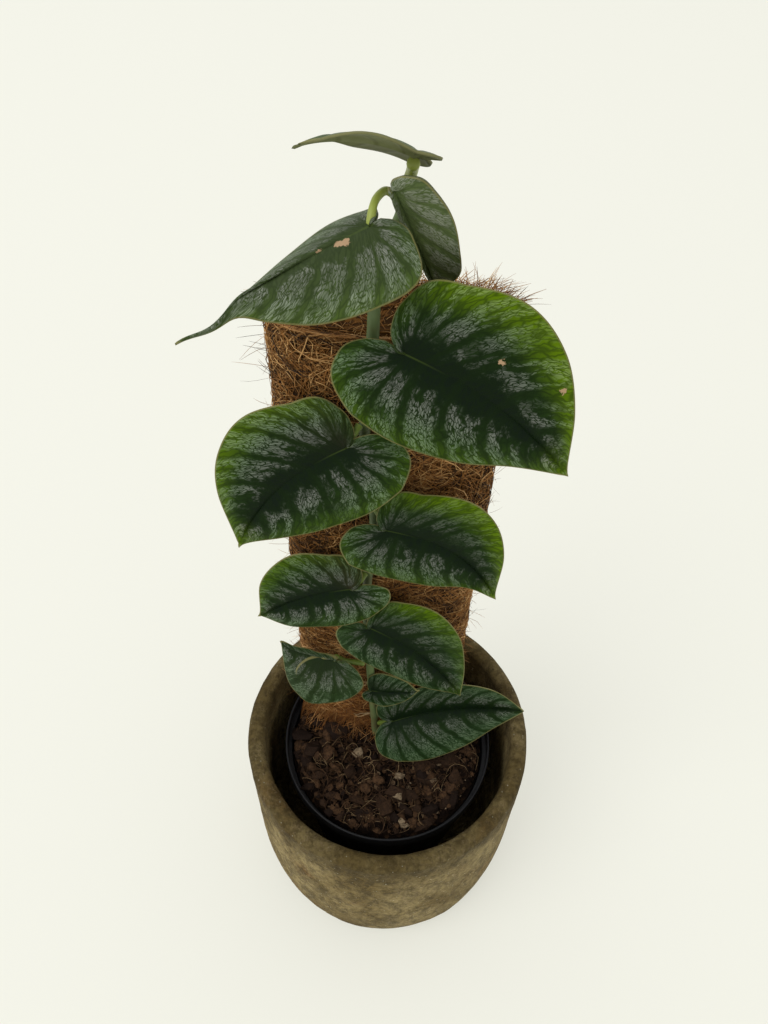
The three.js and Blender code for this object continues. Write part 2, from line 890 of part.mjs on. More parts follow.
// A leaf with its petiole, which starts clear of the stem and ends inside the blade.
function leafWithPetiole(leaf) {
  const radius = leaf.petioleRadius || PETIOLE.radius;
  const path = [...leaf.petiole, leaf.base];
  const stalk = rod(path, radius, PETIOLE.sides, PETIOLE.steps);
  return toGeometry(mainBody(toSolid(blade(leaf)).add(toSolid(stalk))));
}

// Assembly

const plant = new THREE.Group();
plant.name = "potted_shingle_plant";
plant.add(makeMesh("planter", planter(), FINISH.clay));
plant.add(makeMesh("nursery_pot", nurseryPot(), FINISH.plastic));
plant.add(makeMesh("soil", soil(), FINISH.soil));
plant.add(makeMesh("coir_sleeve", coirSleeve(), FINISH.coir));
plant.add(makeMesh("core_board", coreBox(0, CORE.bottom, CORE.top), FINISH.wood));
plant.add(makeMesh("stem", stem(), FINISH.stem));
for (const [name, leaf] of Object.entries(LEAVES)) {
  plant.add(makeMesh(name, leafWithPetiole(leaf), FINISH.leaf));
}

export default plant;
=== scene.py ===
"""Potted shingle plant: the looks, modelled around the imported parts.

Metres, +Z up, origin at the middle of the planter's base, leaves towards -Y.
"""

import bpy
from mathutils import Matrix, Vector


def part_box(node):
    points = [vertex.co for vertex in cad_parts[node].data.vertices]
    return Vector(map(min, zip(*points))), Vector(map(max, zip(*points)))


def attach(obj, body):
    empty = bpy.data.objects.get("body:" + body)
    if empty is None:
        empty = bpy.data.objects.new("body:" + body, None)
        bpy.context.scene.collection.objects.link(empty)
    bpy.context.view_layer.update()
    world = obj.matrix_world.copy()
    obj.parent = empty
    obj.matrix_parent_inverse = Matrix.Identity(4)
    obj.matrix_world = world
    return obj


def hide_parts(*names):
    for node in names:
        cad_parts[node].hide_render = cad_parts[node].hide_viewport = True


bl_info = {
    "name": "Potted Shingle Plant",
    "version": (1, 0, 0),
    "blender": (4, 5, 0),
    "location": "3D View > Sidebar > Shingle Plant",
    "description": "Builds a climbing shingle plant on a coir board in a clay planter",
    "category": "Object",
}

import math

import bmesh
import bpy
import numpy as np
from bpy.props import FloatProperty, FloatVectorProperty, IntProperty, PointerProperty
from mathutils import Euler, Matrix, Vector, noise

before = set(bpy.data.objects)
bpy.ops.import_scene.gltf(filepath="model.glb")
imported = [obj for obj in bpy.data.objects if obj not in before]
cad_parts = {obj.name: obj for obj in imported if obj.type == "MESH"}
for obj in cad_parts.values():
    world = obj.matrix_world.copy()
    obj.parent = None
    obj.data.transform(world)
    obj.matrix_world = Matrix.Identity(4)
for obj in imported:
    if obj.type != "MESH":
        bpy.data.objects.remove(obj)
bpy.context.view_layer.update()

# Sizes in metres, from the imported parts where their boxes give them

MM = 0.001
PLANTER_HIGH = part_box("planter")[1]
POT_LOW, POT_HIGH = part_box("nursery_pot")
BOARD_LOW, BOARD_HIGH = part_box("core_board")
BOARD_MIDDLE = (BOARD_LOW + BOARD_HIGH) / 2
CLEARANCE = 0.3 * MM  # between the board and the mat's pocket

PLANTER = {
    "belly": PLANTER_HIGH.x,
    "foot": 0.0734,
    "rim": 0.0800,
    "mouth": 0.0704,
    "height": PLANTER_HIGH.z,
    "belly_height": 0.059,
    "foot_rounding": 0.005,
    "floor": 0.010,
    "inside_foot": 14 * MM,
    "inside_slope": 8 * MM,
}
NURSERY_POT = {
    "rim": POT_HIGH.x,
    "height": POT_HIGH.z,
    "lip_depth": 0.008,
    "lip_step": 0.002,
    "foot": 0.044,
    "bottom": POT_LOW.z,
    "wall": 0.0014,
    "lip_rounding": 0.7 * MM,
    "drain": 0.004,
    "drain_circle": 0.028,
    "drains": 5,
}
SOIL = {
    "level": 0.119,
    "lump": 0.0026,
    "edge": 0.1155,
    "bottom": POT_LOW.z + 0.0017,
    "reach": 54 * MM,
    "chip_reach": 53 * MM,
    "root_reach": 50 * MM,
    "off_mat": 1.5 * MM,
    "off_stem": 5 * MM,
    "off_pot": 0.6 * MM,
    "lumps": 34,
}
# The mat's plan is a rounded box of that squareness. It bulges in the pot, settles to its own
# half width between two heights over the pot's rim, and its felt lies under the loose fibres.
MAT = {
    "centre": (BOARD_MIDDLE.x, BOARD_MIDDLE.y),
    "half_width": 0.0434,
    "half_depth": 0.0165,
    "bottom": 0.111,
    "top": 0.405,
    "squareness": 2.3,
    "bulge": 0.0455,
    "settles": (6 * MM, 56 * MM),
    "pressed": 1.4 * MM,
    "felt": -0.6 * MM,
}

# The stem's way up the front of the board, and the heights of its aerial roots.
STEM_PATH = [
    (-0.006, 0.0045, 0.096),
    (-0.0075, 0.0062, 0.126),
    (-0.0095, 0.0074, 0.165),
    (-0.0115, 0.0075, 0.215),
    (-0.0125, 0.0075, 0.268),
    (-0.0095, 0.0075, 0.315),
    (-0.0135, 0.0075, 0.364),
    (-0.011, 0.0075, 0.404),
    (-0.0099, 0.0122, 0.423),
    (-0.0064, 0.0196, 0.434),
    (-0.0026, 0.0232, 0.4425),
    (-0.0019, 0.0226, 0.450),
]
ROOT_HEIGHTS = [0.140, 0.176, 0.206, 0.240, 0.285, 0.300, 0.338, 0.350, 0.384, 0.396]

# Half of a heart-shaped leaf, from the notch round one lobe to the tip, as shares of the
# length and of the half width. A negative share along the leaf is scaled by its own lobe.
HALF_HEART = [
    (-0.4, 0),
    (-0.8, 0.14),
    (-1, 0.4),
    (-0.6, 0.76),
    (0.22, 1),
    (0.54, 0.79),
    (0.8, 0.36),
]
SHOULDER = 0.22  # the share of the length where a half starts to narrow towards the tip
CORNER_FROM = 0.5  # how wide the lobe is, as a share, where its corner starts
LOBE_SHARE = 0.38  # the share of a half's outline whose side veins start at the stalk
VEIN_SPREAD = 1.5  # more crowds the side veins' starts towards the stalk

# Each leaf: where its stalk meets the blade, where its tip is and which way its face looks; the
# half widths on its left and right, how far each lobe reaches back, how much fuller its lobe's
# corner is, and how slender each half is towards the tip; how far the midrib bows and its tail
# sags to the left, the narrow tail at the tip, the curl along the midrib, the fold and the arch
# of each half, and the way points and radius of its petiole.
# Its finish: side veins in a half; how yellow-green its left margin, right margin and tip are;
# how silvery its left and right are; how bronze it is; how far its silver runs in whole bands;
# and how pale it is, partly its own grey-green and partly painted sheen and light. Where it
# has them: its scars, and the middle and radius of a curled lobe.
USUAL_LEAF = {
    "corner": (0, 0), "sag": 0.0, "curl": 0.15, "fold": (0.05, 0.05), "arch": 0.002,
    "petiole_radius": 0.0015, "bronze": (0, 0), "bands": 0.0, "pale": 0.0, "scars": [],
    "flap": None,
}
LEAVES = {
    "leaf_01": {
        **USUAL_LEAF,
        "base": (0.0, 0.0148, 0.4637), "tip": (-0.0335, 0.0145, 0.4654), "faces": (0, 0.63, 0.77),
        "halves": (0.0119, 0.0152), "lobes": (0.0076, 0.0055), "full": (0.57, 1.82),
        "bow": 0.0069, "tail": 0.005, "curl": 0.33, "fold": (0.11, -0.11), "arch": 0.0008,
        "petiole": [(-0.0017, 0.0223, 0.4508), (-0.0003, 0.0199, 0.4565)],
        "petiole_radius": 0.0019, "veins": 6, "young": (0.15, 0.15, 0.1), "silver": (0.3, 0.3),
        "bands": 0.2, "pale": 0.6,
    },
    "leaf_02": {
        **USUAL_LEAF,
        "base": (-0.012, 0.004, 0.4487), "tip": (-0.07, -0.0095, 0.4163),
        "faces": (-0.16, -0.77, 0.62), "halves": (0.0215, 0.015), "lobes": (0.0092, 0.0036),
        "corner": (0.16, 0), "full": (0.76, 2.2), "bow": -0.0015, "sag": 0.0026, "tail": 0.0183,
        "curl": 0.1, "fold": (0.3, 1.0),
        "petiole": [
            (-0.0023, 0.0189, 0.4475), (-0.0072, 0.0165, 0.4526), (-0.0099, 0.012, 0.4531),
            (-0.0111, 0.0082, 0.4521),
        ],
        "petiole_radius": 0.0013, "veins": 8, "young": (0.35, 0.1, 0.15), "silver": (1.0, 0.9),
        "bands": 0.6, "pale": 0.4,
        "scars": [(0.0078, 0.0012, 0.0022), (0.0102, 0.0006, 0.0021), (0.016, -0.0004, 0.0014)],
    },
    # Its full paleness partly paints light on its face, which turns down.
    "leaf_03": {
        **USUAL_LEAF,
        "base": (-0.0053, 0.008, 0.4574), "tip": (0.0113, 0.0368, 0.4055),
        "faces": (-0.25, -0.8, -0.5), "halves": (0.0144, 0.0018), "lobes": (0.0074, 0.0009),
        "full": (0.36, 0.3), "bow": 0.0003, "tail": 0.002, "curl": 0.05, "arch": 0.0015,
        "petiole": [(0.0015, 0.0216, 0.4474), (0.0014, 0.0154, 0.456)], "veins": 6,
        "young": (0.25, 0.1, 0.2), "silver": (0.9, 0.9), "bands": 0.8, "pale": 1.0,
    },
    "leaf_04": {
        **USUAL_LEAF,
        "base": (-0.0004, -0.001, 0.4077), "tip": (0.0597, -0.0068, 0.359),
        "faces": (0.07, -0.98, 0.19), "halves": (0.0328, 0.0316), "lobes": (0.0119, 0.0167),
        "full": (0.7, 0.9), "bow": 0.0049, "tail": 0.004,
        "petiole": [(-0.0096, 0.0051, 0.4055), (-0.0052, 0.0013, 0.4063)], "veins": 8,
        "young": (1.0, 0.25, 0.9), "silver": (0.8, 0.95),
        "scars": [(0.0249, 0.0138, 0.0022), (0.0488, 0.0184, 0.0022)],
    },
    "leaf_05": {
        **USUAL_LEAF,
        "base": (-0.02, -0.001, 0.365), "tip": (-0.0634, -0.008, 0.3149),
        "faces": (-0.07, -0.98, 0.19), "halves": (0.0305, 0.0295), "lobes": (0.015, 0.0105),
        "full": (0.8, 0.57), "bow": -0.0065, "tail": 0.004,
        "petiole": [(-0.0152, 0.0047, 0.371), (-0.0175, 0.0015, 0.369)], "veins": 8,
        "young": (0.25, 0.6, 1.0), "silver": (0.95, 0.9), "bronze": (0, 0.25),
    },
    "leaf_06": {
        **USUAL_LEAF,
        "base": (-0.0046, -0.0012, 0.319), "tip": (0.0441, -0.0045, 0.2766),
        "faces": (0.1, -0.98, 0.19), "halves": (0.0248, 0.0266), "lobes": (0.01, 0.0114),
        "full": (0.6, 1.05), "bow": 0.0085, "tail": 0.004,
        "petiole": [(-0.0086, 0.0052, 0.3239), (-0.0065, 0.0015, 0.3235)], "veins": 8,
        "young": (1.0, 0.2, 0.9), "silver": (0.45, 0.8),
    },
    "leaf_07": {
        **USUAL_LEAF,
        "base": (-0.02, -0.0008, 0.2767), "tip": (-0.0627, -0.001, 0.2537),
        "faces": (-0.1, -0.98, 0.19), "halves": (0.0218, 0.0238), "lobes": (0.0155, 0.0098),
        "full": (0.45, 0.47), "bow": -0.0034, "tail": 0.003,
        "petiole": [(-0.0133, 0.0049, 0.2811), (-0.0155, 0.0015, 0.28)], "veins": 7,
        "young": (0.1, 0.45, 0.3), "silver": (0.95, 0.7), "bronze": (0, 0.5),
    },
    "leaf_08": {
        **USUAL_LEAF,
        "base": (-0.0108, -0.0023, 0.2474), "tip": (0.0355, -0.0111, 0.1993),
        "faces": (0.07, -0.97, 0.24), "halves": (0.0248, 0.021), "lobes": (0.0056, 0.01),
        "full": (0.75, 0.66), "bow": 0.0052, "tail": 0.003,
        "petiole": [(-0.0118, 0.0047, 0.2521), (-0.011, 0.0012, 0.2515)], "veins": 7,
        "young": (0.95, 0.15, 0.7), "silver": (0.45, 0.7),
    },
    # Its silver and paleness are set low, partly to paint the shade it lies in.
    "leaf_09": {
        **USUAL_LEAF,
        "base": (-0.0287, 0.0009, 0.213), "tip": (-0.0566, 0.0087, 0.2156),
        "faces": (-0.4, -0.85, 0.34), "halves": (0.0352, 0.0018), "lobes": (0.0173, 0.0014),
        "full": (0.4, 0.62), "bow": 0.0011, "tail": 0.0015, "curl": 0.1, "fold": (0.05, 0.3),
        "petiole": [(-0.014, 0.0064, 0.1991), (-0.023, 0.0055, 0.203)], "veins": 7,
        "young": (0, 0, 0), "silver": (0.75, 0.5), "bands": 0.1, "pale": 0.1,
        "flap": (0.0033, 0.0135, 0.0141),
    },
    "leaf_10": {
        **USUAL_LEAF,
        "base": (-0.0094, -0.0004, 0.1822), "tip": (0.0159, -0.0002, 0.1833),
        "faces": (0, -0.87, 0.5), "halves": (0.0108, 0.009), "lobes": (0.0022, 0.0056),
        "full": (0.6, 0.66), "bow": -0.001, "tail": 0.002, "curl": 0.2, "fold": (0.1, 0.1),
        "arch": 0.001, "petiole": [(-0.0104, 0.0033, 0.1755), (-0.0104, 0.0016, 0.179)],
        "veins": 6, "young": (0.1, 0.1, 0.1), "silver": (0.6, 0.6),
    },
    # Its silver and paleness are set low, partly to paint the shade it lies in.
    "leaf_11": {
        **USUAL_LEAF,
        "base": (0.0032, -0.0006, 0.1472), "tip": (0.0772, 0.0064, 0.1484),
        "faces": (0.07, -0.52, 0.85), "halves": (0.0186, 0.0267), "lobes": (0.009, 0.0117),
        "full": (0.48, 0.88), "bow": 0.0044, "tail": 0.0022, "curl": 0.3, "fold": (-0.6, 0.2),
        "petiole": [(-0.0051, 0.0043, 0.134), (-0.001, 0.0016, 0.141)], "veins": 9,
        "young": (0.15, 0.1, 0.1), "silver": (0.6, 0.65), "bands": 0.6,
    },
}

# Helpers


def hue(text):
    """An sRGB hex colour as the linear red, green and blue that Blender works in."""
    values = [int(text[i : i + 2], 16) / 255 for i in (0, 2, 4)]
    return [v / 12.92 if v <= 0.04045 else ((v + 0.055) / 1.055) ** 2.4 for v in values]


def ease(value, low, high):
    """A smooth step from 0 at low to 1 at high, for numbers and arrays alike."""
    share = np.clip((value - low) / (high - low), 0, 1)
    return share * share * (3 - 2 * share)


def arc(centre, radii, start, end, count):
    """Points of (radius, height) along part of an ellipse, angles in radians."""
    angles = np.linspace(start, end, count + 1)
    return [
        (centre[0] + radii[0] * math.cos(a), centre[1] + radii[1] * math.sin(a)) for a in angles
    ]


def line(start, end, count):
    """Points along a straight stretch of a profile, without its first."""
    return [tuple(p) for p in np.linspace(start, end, count + 1)[1:]]


def smooth_path(points, count, pull=0.5):
    """Evenly spaced points on a Catmull-Rom curve: pull 0 is uniform, 0.5 is centripetal."""
    p = np.array(points, float)
    if pull:
        p = np.vstack([2 * p[0] - p[1], p, 2 * p[-1] - p[-2]])
    else:
        p = np.vstack([p[0], p, p[-1]])
    gaps = np.linalg.norm(np.diff(p, axis=0), axis=1)
    steps = gaps**pull if pull else np.ones(len(gaps))
    dense = []
    for i in range(1, len(p) - 2):
        before, here, after = steps[i - 1], steps[i], steps[i + 1]
        leave = (p[i] - p[i - 1]) / before - (p[i + 1] - p[i - 1]) / (before + here)
        leave = (leave + (p[i + 1] - p[i]) / here) * here
        reach = (p[i + 1] - p[i]) / here - (p[i + 2] - p[i]) / (here + after)
        reach = (reach + (p[i + 2] - p[i + 1]) / after) * here
        for t in np.linspace(0, 1, 24, endpoint=False):
            cubic = 2 * p[i] - 2 * p[i + 1] + leave + reach
            square = -3 * p[i] + 3 * p[i + 1] - 2 * leave - reach
            dense.append(cubic * t**3 + square * t**2 + leave * t + p[i])
    dense = np.array([*dense, p[-2]])
    run = np.concatenate([[0], np.cumsum(np.linalg.norm(np.diff(dense, axis=0), axis=1))])
    even = np.linspace(0, run[-1], count)
    return np.stack([np.interp(even, run, dense[:, k]) for k in range(dense.shape[1])], axis=1)


def object_from(bm, name, materials, smooth=True):
    """Turns a bmesh into an object at the origin, with its place in its mesh."""
    mesh = bpy.data.meshes.new(name)
    bm.to_mesh(mesh)
    bm.free()
    mesh.polygons.foreach_set("use_smooth", [smooth] * len(mesh.polygons))
    made = bpy.data.objects.new(name, mesh)
    bpy.context.scene.collection.objects.link(made)
    for material in materials:
        mesh.materials.append(material)
    return made


def dress(piece, slot, *nodes):
    """Puts a finished piece on the body, in place of its CAD nodes. Its slot is not used."""
    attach(piece, "root")
    if nodes:
        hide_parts(*nodes)


def baked(piece):
    """The piece's mesh with its modifiers applied, and the modifiers removed."""
    graph = bpy.context.evaluated_depsgraph_get()
    mesh = bpy.data.meshes.new_from_object(piece.evaluated_get(graph))
    old = piece.data
    piece.modifiers.clear()
    piece.data = mesh
    mesh.name = old.name
    bpy.data.meshes.remove(old)
    return mesh


def turned(profile, steps):
    """A profile of (radius, height) spun once round Z, closed at its seam and poles."""
    bm = bmesh.new()
    verts = [bm.verts.new((radius, 0, height)) for radius, height in profile]
    edges = [bm.edges.new(pair) for pair in zip(verts, verts[1:])]
    bmesh.ops.spin(
        bm,
        geom=verts + edges,
        axis=(0, 0, 1),
        cent=(0, 0, 0),
        angle=2 * math.pi,
        steps=steps,
        use_merge=True,
    )
    bmesh.ops.remove_doubles(bm, verts=bm.verts, dist=0.001 * MM)
    bmesh.ops.recalc_face_normals(bm, faces=bm.faces)
    # A spin leaves its faces in another order each run, so they are put in the same order here.
    bm.verts.index_update()
    ranked = sorted(bm.faces, key=lambda face: sorted(vert.index for vert in face.verts))
    for rank, face in enumerate(ranked):
        face.index = rank
    bm.faces.sort()
    return bm


def copies(bm, name, count, material, smooth=True):
    """An object that holds a bmesh many times over, and the places of one copy's vertices."""
    piece = object_from(bm, name, [material], smooth)
    one = np.array([v.co for v in piece.data.vertices])
    repeat = piece.modifiers.new("repeat", "ARRAY")
    repeat.count = count
    repeat.use_relative_offset = False
    baked(piece)
    return piece, one


def keep_shades(piece, name, shades, size):
    """Stores one number for each copy in a piece, which its material reads as that copy's tone."""
    layer = piece.data.attributes.new(name, "FLOAT", "POINT")
    layer.data.foreach_set("value", np.repeat(shades, size).astype(np.float32))
    piece.data.update()


def strands(name, paths, radii, sides, material, rng):
    """One mesh of closed round strands: paths is strands x points x 3, radii strands x points."""
    paths = np.asarray(paths, float)
    count, points = paths.shape[:2]
    bm = bmesh.new()
    bmesh.ops.create_cone(
        bm, cap_ends=True, segments=sides, radius1=1, radius2=1, depth=points - 1
    )
    sides_up = [e for e in bm.edges if abs(e.verts[0].co.z - e.verts[1].co.z) > 0.5]
    if points > 2:
        bmesh.ops.subdivide_edges(bm, edges=sides_up, cuts=points - 2)
    piece, one = copies(bm, name, count, material)
    ring = np.rint(one[:, 2] + (points - 1) / 2).astype(int)
    ahead = np.gradient(paths, axis=1)
    ahead /= np.linalg.norm(ahead, axis=2, keepdims=True)
    side = np.zeros_like(paths)
    helper = np.eye(3)[np.argmin(np.abs(ahead[:, 0]), axis=1)]
    for k in range(points):
        helper = helper - (helper * ahead[:, k]).sum(1, keepdims=True) * ahead[:, k]
        helper /= np.linalg.norm(helper, axis=1, keepdims=True)
        side[:, k] = helper
    across = np.cross(ahead, side)
    reach = np.asarray(radii, float)[:, ring, None]
    places = paths[:, ring] + reach * (
        side[:, ring] * one[:, 0, None] + across[:, ring] * one[:, 1, None]
    )
    piece.data.vertices.foreach_set("co", places.ravel().astype(np.float32))
    keep_shades(piece, "strand", rng.random(count), len(one))
    return piece


# Materials

SMOOTH = {"interpolation_type": "SMOOTHSTEP"}
COLOURS = {"data_type": "RGBA"}
TIMES = {"operation": "MULTIPLY"}
TIMES_PLUS = {"operation": "MULTIPLY_ADD"}


def add(material, kind, *values, output=None, **settings):
    """Adds a node to a material and gives one of its outputs. Values and sockets fill its open
    inputs in turn, and each named one goes to the input, or else the setting, of that name."""
    tree = material.node_tree
    made = tree.nodes.new("ShaderNode" + kind)
    for name, value in settings.items():
        if name not in made.inputs:
            setattr(made, name, value)
    open_inputs = [socket for socket in made.inputs if socket.enabled]
    filled = list(zip(open_inputs, values))
    filled += [(made.inputs[name], settings[name]) for name in settings if name in made.inputs]
    for socket, value in filled:
        if isinstance(value, bpy.types.NodeSocket):
            tree.links.new(value, socket)
        else:
            socket.default_value = value
    if output is not None:
        return made.outputs[output]
    return next(socket for socket in made.outputs if socket.enabled)


def new_material(name, **values):
    """A material with one Principled shader, and that shader's values set by name."""
    material = bpy.data.materials.new(name)
    material.use_nodes = True
    shader = material.node_tree.nodes["Principled BSDF"]
    for key, value in values.items():
        shader.inputs[key.replace("_", " ")].default_value = value
    return material, shader


def join(material, shader, **sockets):
    """Links sockets into the Principled shader by the names of its inputs."""
    for key, socket in sockets.items():
        material.node_tree.links.new(socket, shader.inputs[key.replace("_", " ")])


def rgba(colour, gain=1.0):
    """A linear colour as a shader takes it, made darker or lighter by a gain."""
    return (*[min(1, gain * c) for c in colour], 1)


# Settings


def colour_setting(name, description, default):
    """A colour that a user may change, with its default as an sRGB hex value."""
    return FloatVectorProperty(
        name=name, description=description, subtype="COLOR", default=hue(default), min=0, max=1
    )


class StageSettings(bpy.types.PropertyGroup):
    floor_colour: colour_setting("Floor colour", "The pale floor under the plant", "e8e8dd")
    floor_glow: FloatProperty(
        name="Floor glow", description="How strongly the floor is lit from below", default=0.59
    )
    key_power: FloatProperty(
        name="Key light", description="Power of the large soft light", default=105, unit="POWER"
    )
    fill: FloatProperty(
        name="Fill", description="Strength of the even light from all round", default=0.92
    )


class PlanterSettings(bpy.types.PropertyGroup):
    earth: colour_setting("Earth", "The clay's olive-brown ground colour", "67562f")
    dust: colour_setting("Dust", "The pale, rubbed parts of the clay", "938358")
    soot: colour_setting("Soot", "The dark parts of the clay", "2d240d")
    rust: colour_setting("Rust", "The warm brown parts of the clay", "6a4a1e")
    unevenness: FloatProperty(
        name="Unevenness",
        description="How far the hand-finished wall strays from round",
        default=0.5 * MM,
        unit="LENGTH",
    )


class PotSettings(bpy.types.PropertyGroup):
    colour: colour_setting("Plastic", "The nursery pot's black plastic", "0b0b0c")


class SoilSettings(bpy.types.PropertyGroup):
    peat: colour_setting("Peat", "The dark ground of the potting mix", "1a0f08")
    bark: colour_setting("Bark", "The bark chips in the potting mix", "4b3521")
    chips: IntProperty(name="Chips", description="Number of bark chips", default=1300, min=1)
    roots: IntProperty(name="Roots", description="Number of fine roots", default=560, min=1)


class CoirSettings(bpy.types.PropertyGroup):
    colour: colour_setting("Coir", "The fibres' orange-brown", "94642f")
    fibre_radius: FloatProperty(
        name="Fibre radius",
        description="Mean radius of a coir fibre",
        default=0.15 * MM,
        unit="LENGTH",
    )
    front: IntProperty(
        name="Front fibres", description="Fibres in each half of the front", default=5200, min=1
    )
    back: IntProperty(name="Back fibres", description="Fibres on the back", default=4800, min=1)
    strays: IntProperty(name="Strays", description="Loose hairs at the edges", default=900, min=1)
    tufts: IntProperty(name="Tufts", description="Fibre ends at the top", default=1800, min=1)
    skirt: IntProperty(name="Skirt", description="Fibres spread on the soil", default=900, min=1)


class BoardSettings(bpy.types.PropertyGroup):
    colour: colour_setting("Wood", "The plain softwood of the board inside the mat", "a88458")


class StemSettings(bpy.types.PropertyGroup):
    radius: FloatProperty(
        name="Radius", description="The stem's radius", default=2.3 * MM, unit="LENGTH"
    )
    green: colour_setting("Stem green", "The stem's skin", "64764a")
    root: colour_setting("Aerial roots", "The aerial roots' pale brown", "a08358")


class LeafSettings(bpy.types.PropertyGroup):
    thickness: FloatProperty(
        name="Thickness", description="Thickness of the blade", default=0.7 * MM, unit="LENGTH"
    )
    quilting: FloatProperty(
        name="Quilting",
        description="How deep the side veins are sunk",
        default=0.28 * MM,
        unit="LENGTH",
    )
    deep: colour_setting("Deep green", "The ground colour of an old leaf", "18290e")
    outer: colour_setting("Outer green", "The green towards the margin", "2b420f")
    teal: colour_setting("Teal", "The dark zone along the midrib", "0f1a0f")
    young: colour_setting("Young green", "The yellow-green of young margins and tips", "557003")
    silver: colour_setting("Silver", "The silver patches between the side veins", "686b64")
    sage: colour_setting("Sage", "The greener silver near the margin", "5f7355")


# Stage

FLOOR = {"half_size": 30, "matt": 0.45}
SOFTBOX = {"place": (-2.6, -1.8, 4.4), "aim": (0, 0, 0.25), "size": 3.2}
CAMERA = {
    "place": (-0.007522, -0.202607, 0.568613),
    "pitch": math.radians(49.7735),
    "yaw": math.radians(0.5073),
    "roll": math.radians(1.5673),
    "focal_pixels": 800,
    "frame_height": 1024,
    "sensor": 36,
    "clip": (0.01, 50),
}


class PLANT_OT_stage(bpy.types.Operator):
    """Makes the pale floor, the soft studio light and the camera"""

    bl_idname = "plant.stage"
    bl_label = "Stage"

    def execute(self, context):
        look = context.scene.plant_stage
        scene = context.scene
        scene.view_settings.view_transform = "Standard"
        bm = bmesh.new()
        bmesh.ops.create_grid(bm, x_segments=1, y_segments=1, size=FLOOR["half_size"])
        # Matt paper sweep, lit from below as well, so that no grain and little shadow shows
        paper, shader = new_material("Paper sweep, matt", Roughness=1.0)
        shader.inputs["Base Color"].default_value = rgba(look.floor_colour, FLOOR["matt"])
        shader.inputs["Emission Color"].default_value = rgba(look.floor_colour)
        shader.inputs["Emission Strength"].default_value = look.floor_glow
        floor = object_from(bm, "floor", [paper])
        world = bpy.data.worlds.new("Studio")
        world.use_nodes = True
        background = world.node_tree.nodes["Background"]
        background.inputs["Color"].default_value = rgba(hue("ffffff"))
        background.inputs["Strength"].default_value = look.fill
        scene.world = world
        light = bpy.data.lights.new("softbox", "AREA")
        light.shape = "DISK"
        light.size = SOFTBOX["size"]
        light.energy = look.key_power
        softbox = bpy.data.objects.new("softbox", light)
        softbox.location = SOFTBOX["place"]
        aim = Vector(SOFTBOX["aim"]) - softbox.location
        softbox.rotation_euler = aim.to_track_quat("-Z", "Y").to_euler()
        scene.collection.objects.link(softbox)
        self.place_camera(scene)
        return {"FINISHED"}

    def place_camera(self, scene):
        """The photograph's viewpoint, lens and slight roll."""
        yaw, pitch, roll = CAMERA["yaw"], CAMERA["pitch"], CAMERA["roll"]
        forward = Vector(
            (math.sin(yaw) * math.cos(pitch), math.cos(yaw) * math.cos(pitch), -math.sin(pitch))
        )
        level = Vector((math.cos(yaw), -math.sin(yaw), 0))
        upward = level.cross(forward)
        right = math.cos(roll) * level + math.sin(roll) * upward
        top = math.cos(roll) * upward - math.sin(roll) * level
        turn = Matrix((right, top, -forward)).transposed().to_4x4()
        data = bpy.data.cameras.new("camera")
        data.sensor_width = CAMERA["sensor"]
        data.lens = CAMERA["focal_pixels"] / CAMERA["frame_height"] * CAMERA["sensor"]
        data.clip_start, data.clip_end = CAMERA["clip"]
        camera = bpy.data.objects.new("camera", data)
        camera.matrix_world = Matrix.Translation(CAMERA["place"]) @ turn
        scene.collection.objects.link(camera)
        scene.camera = camera


# Planter


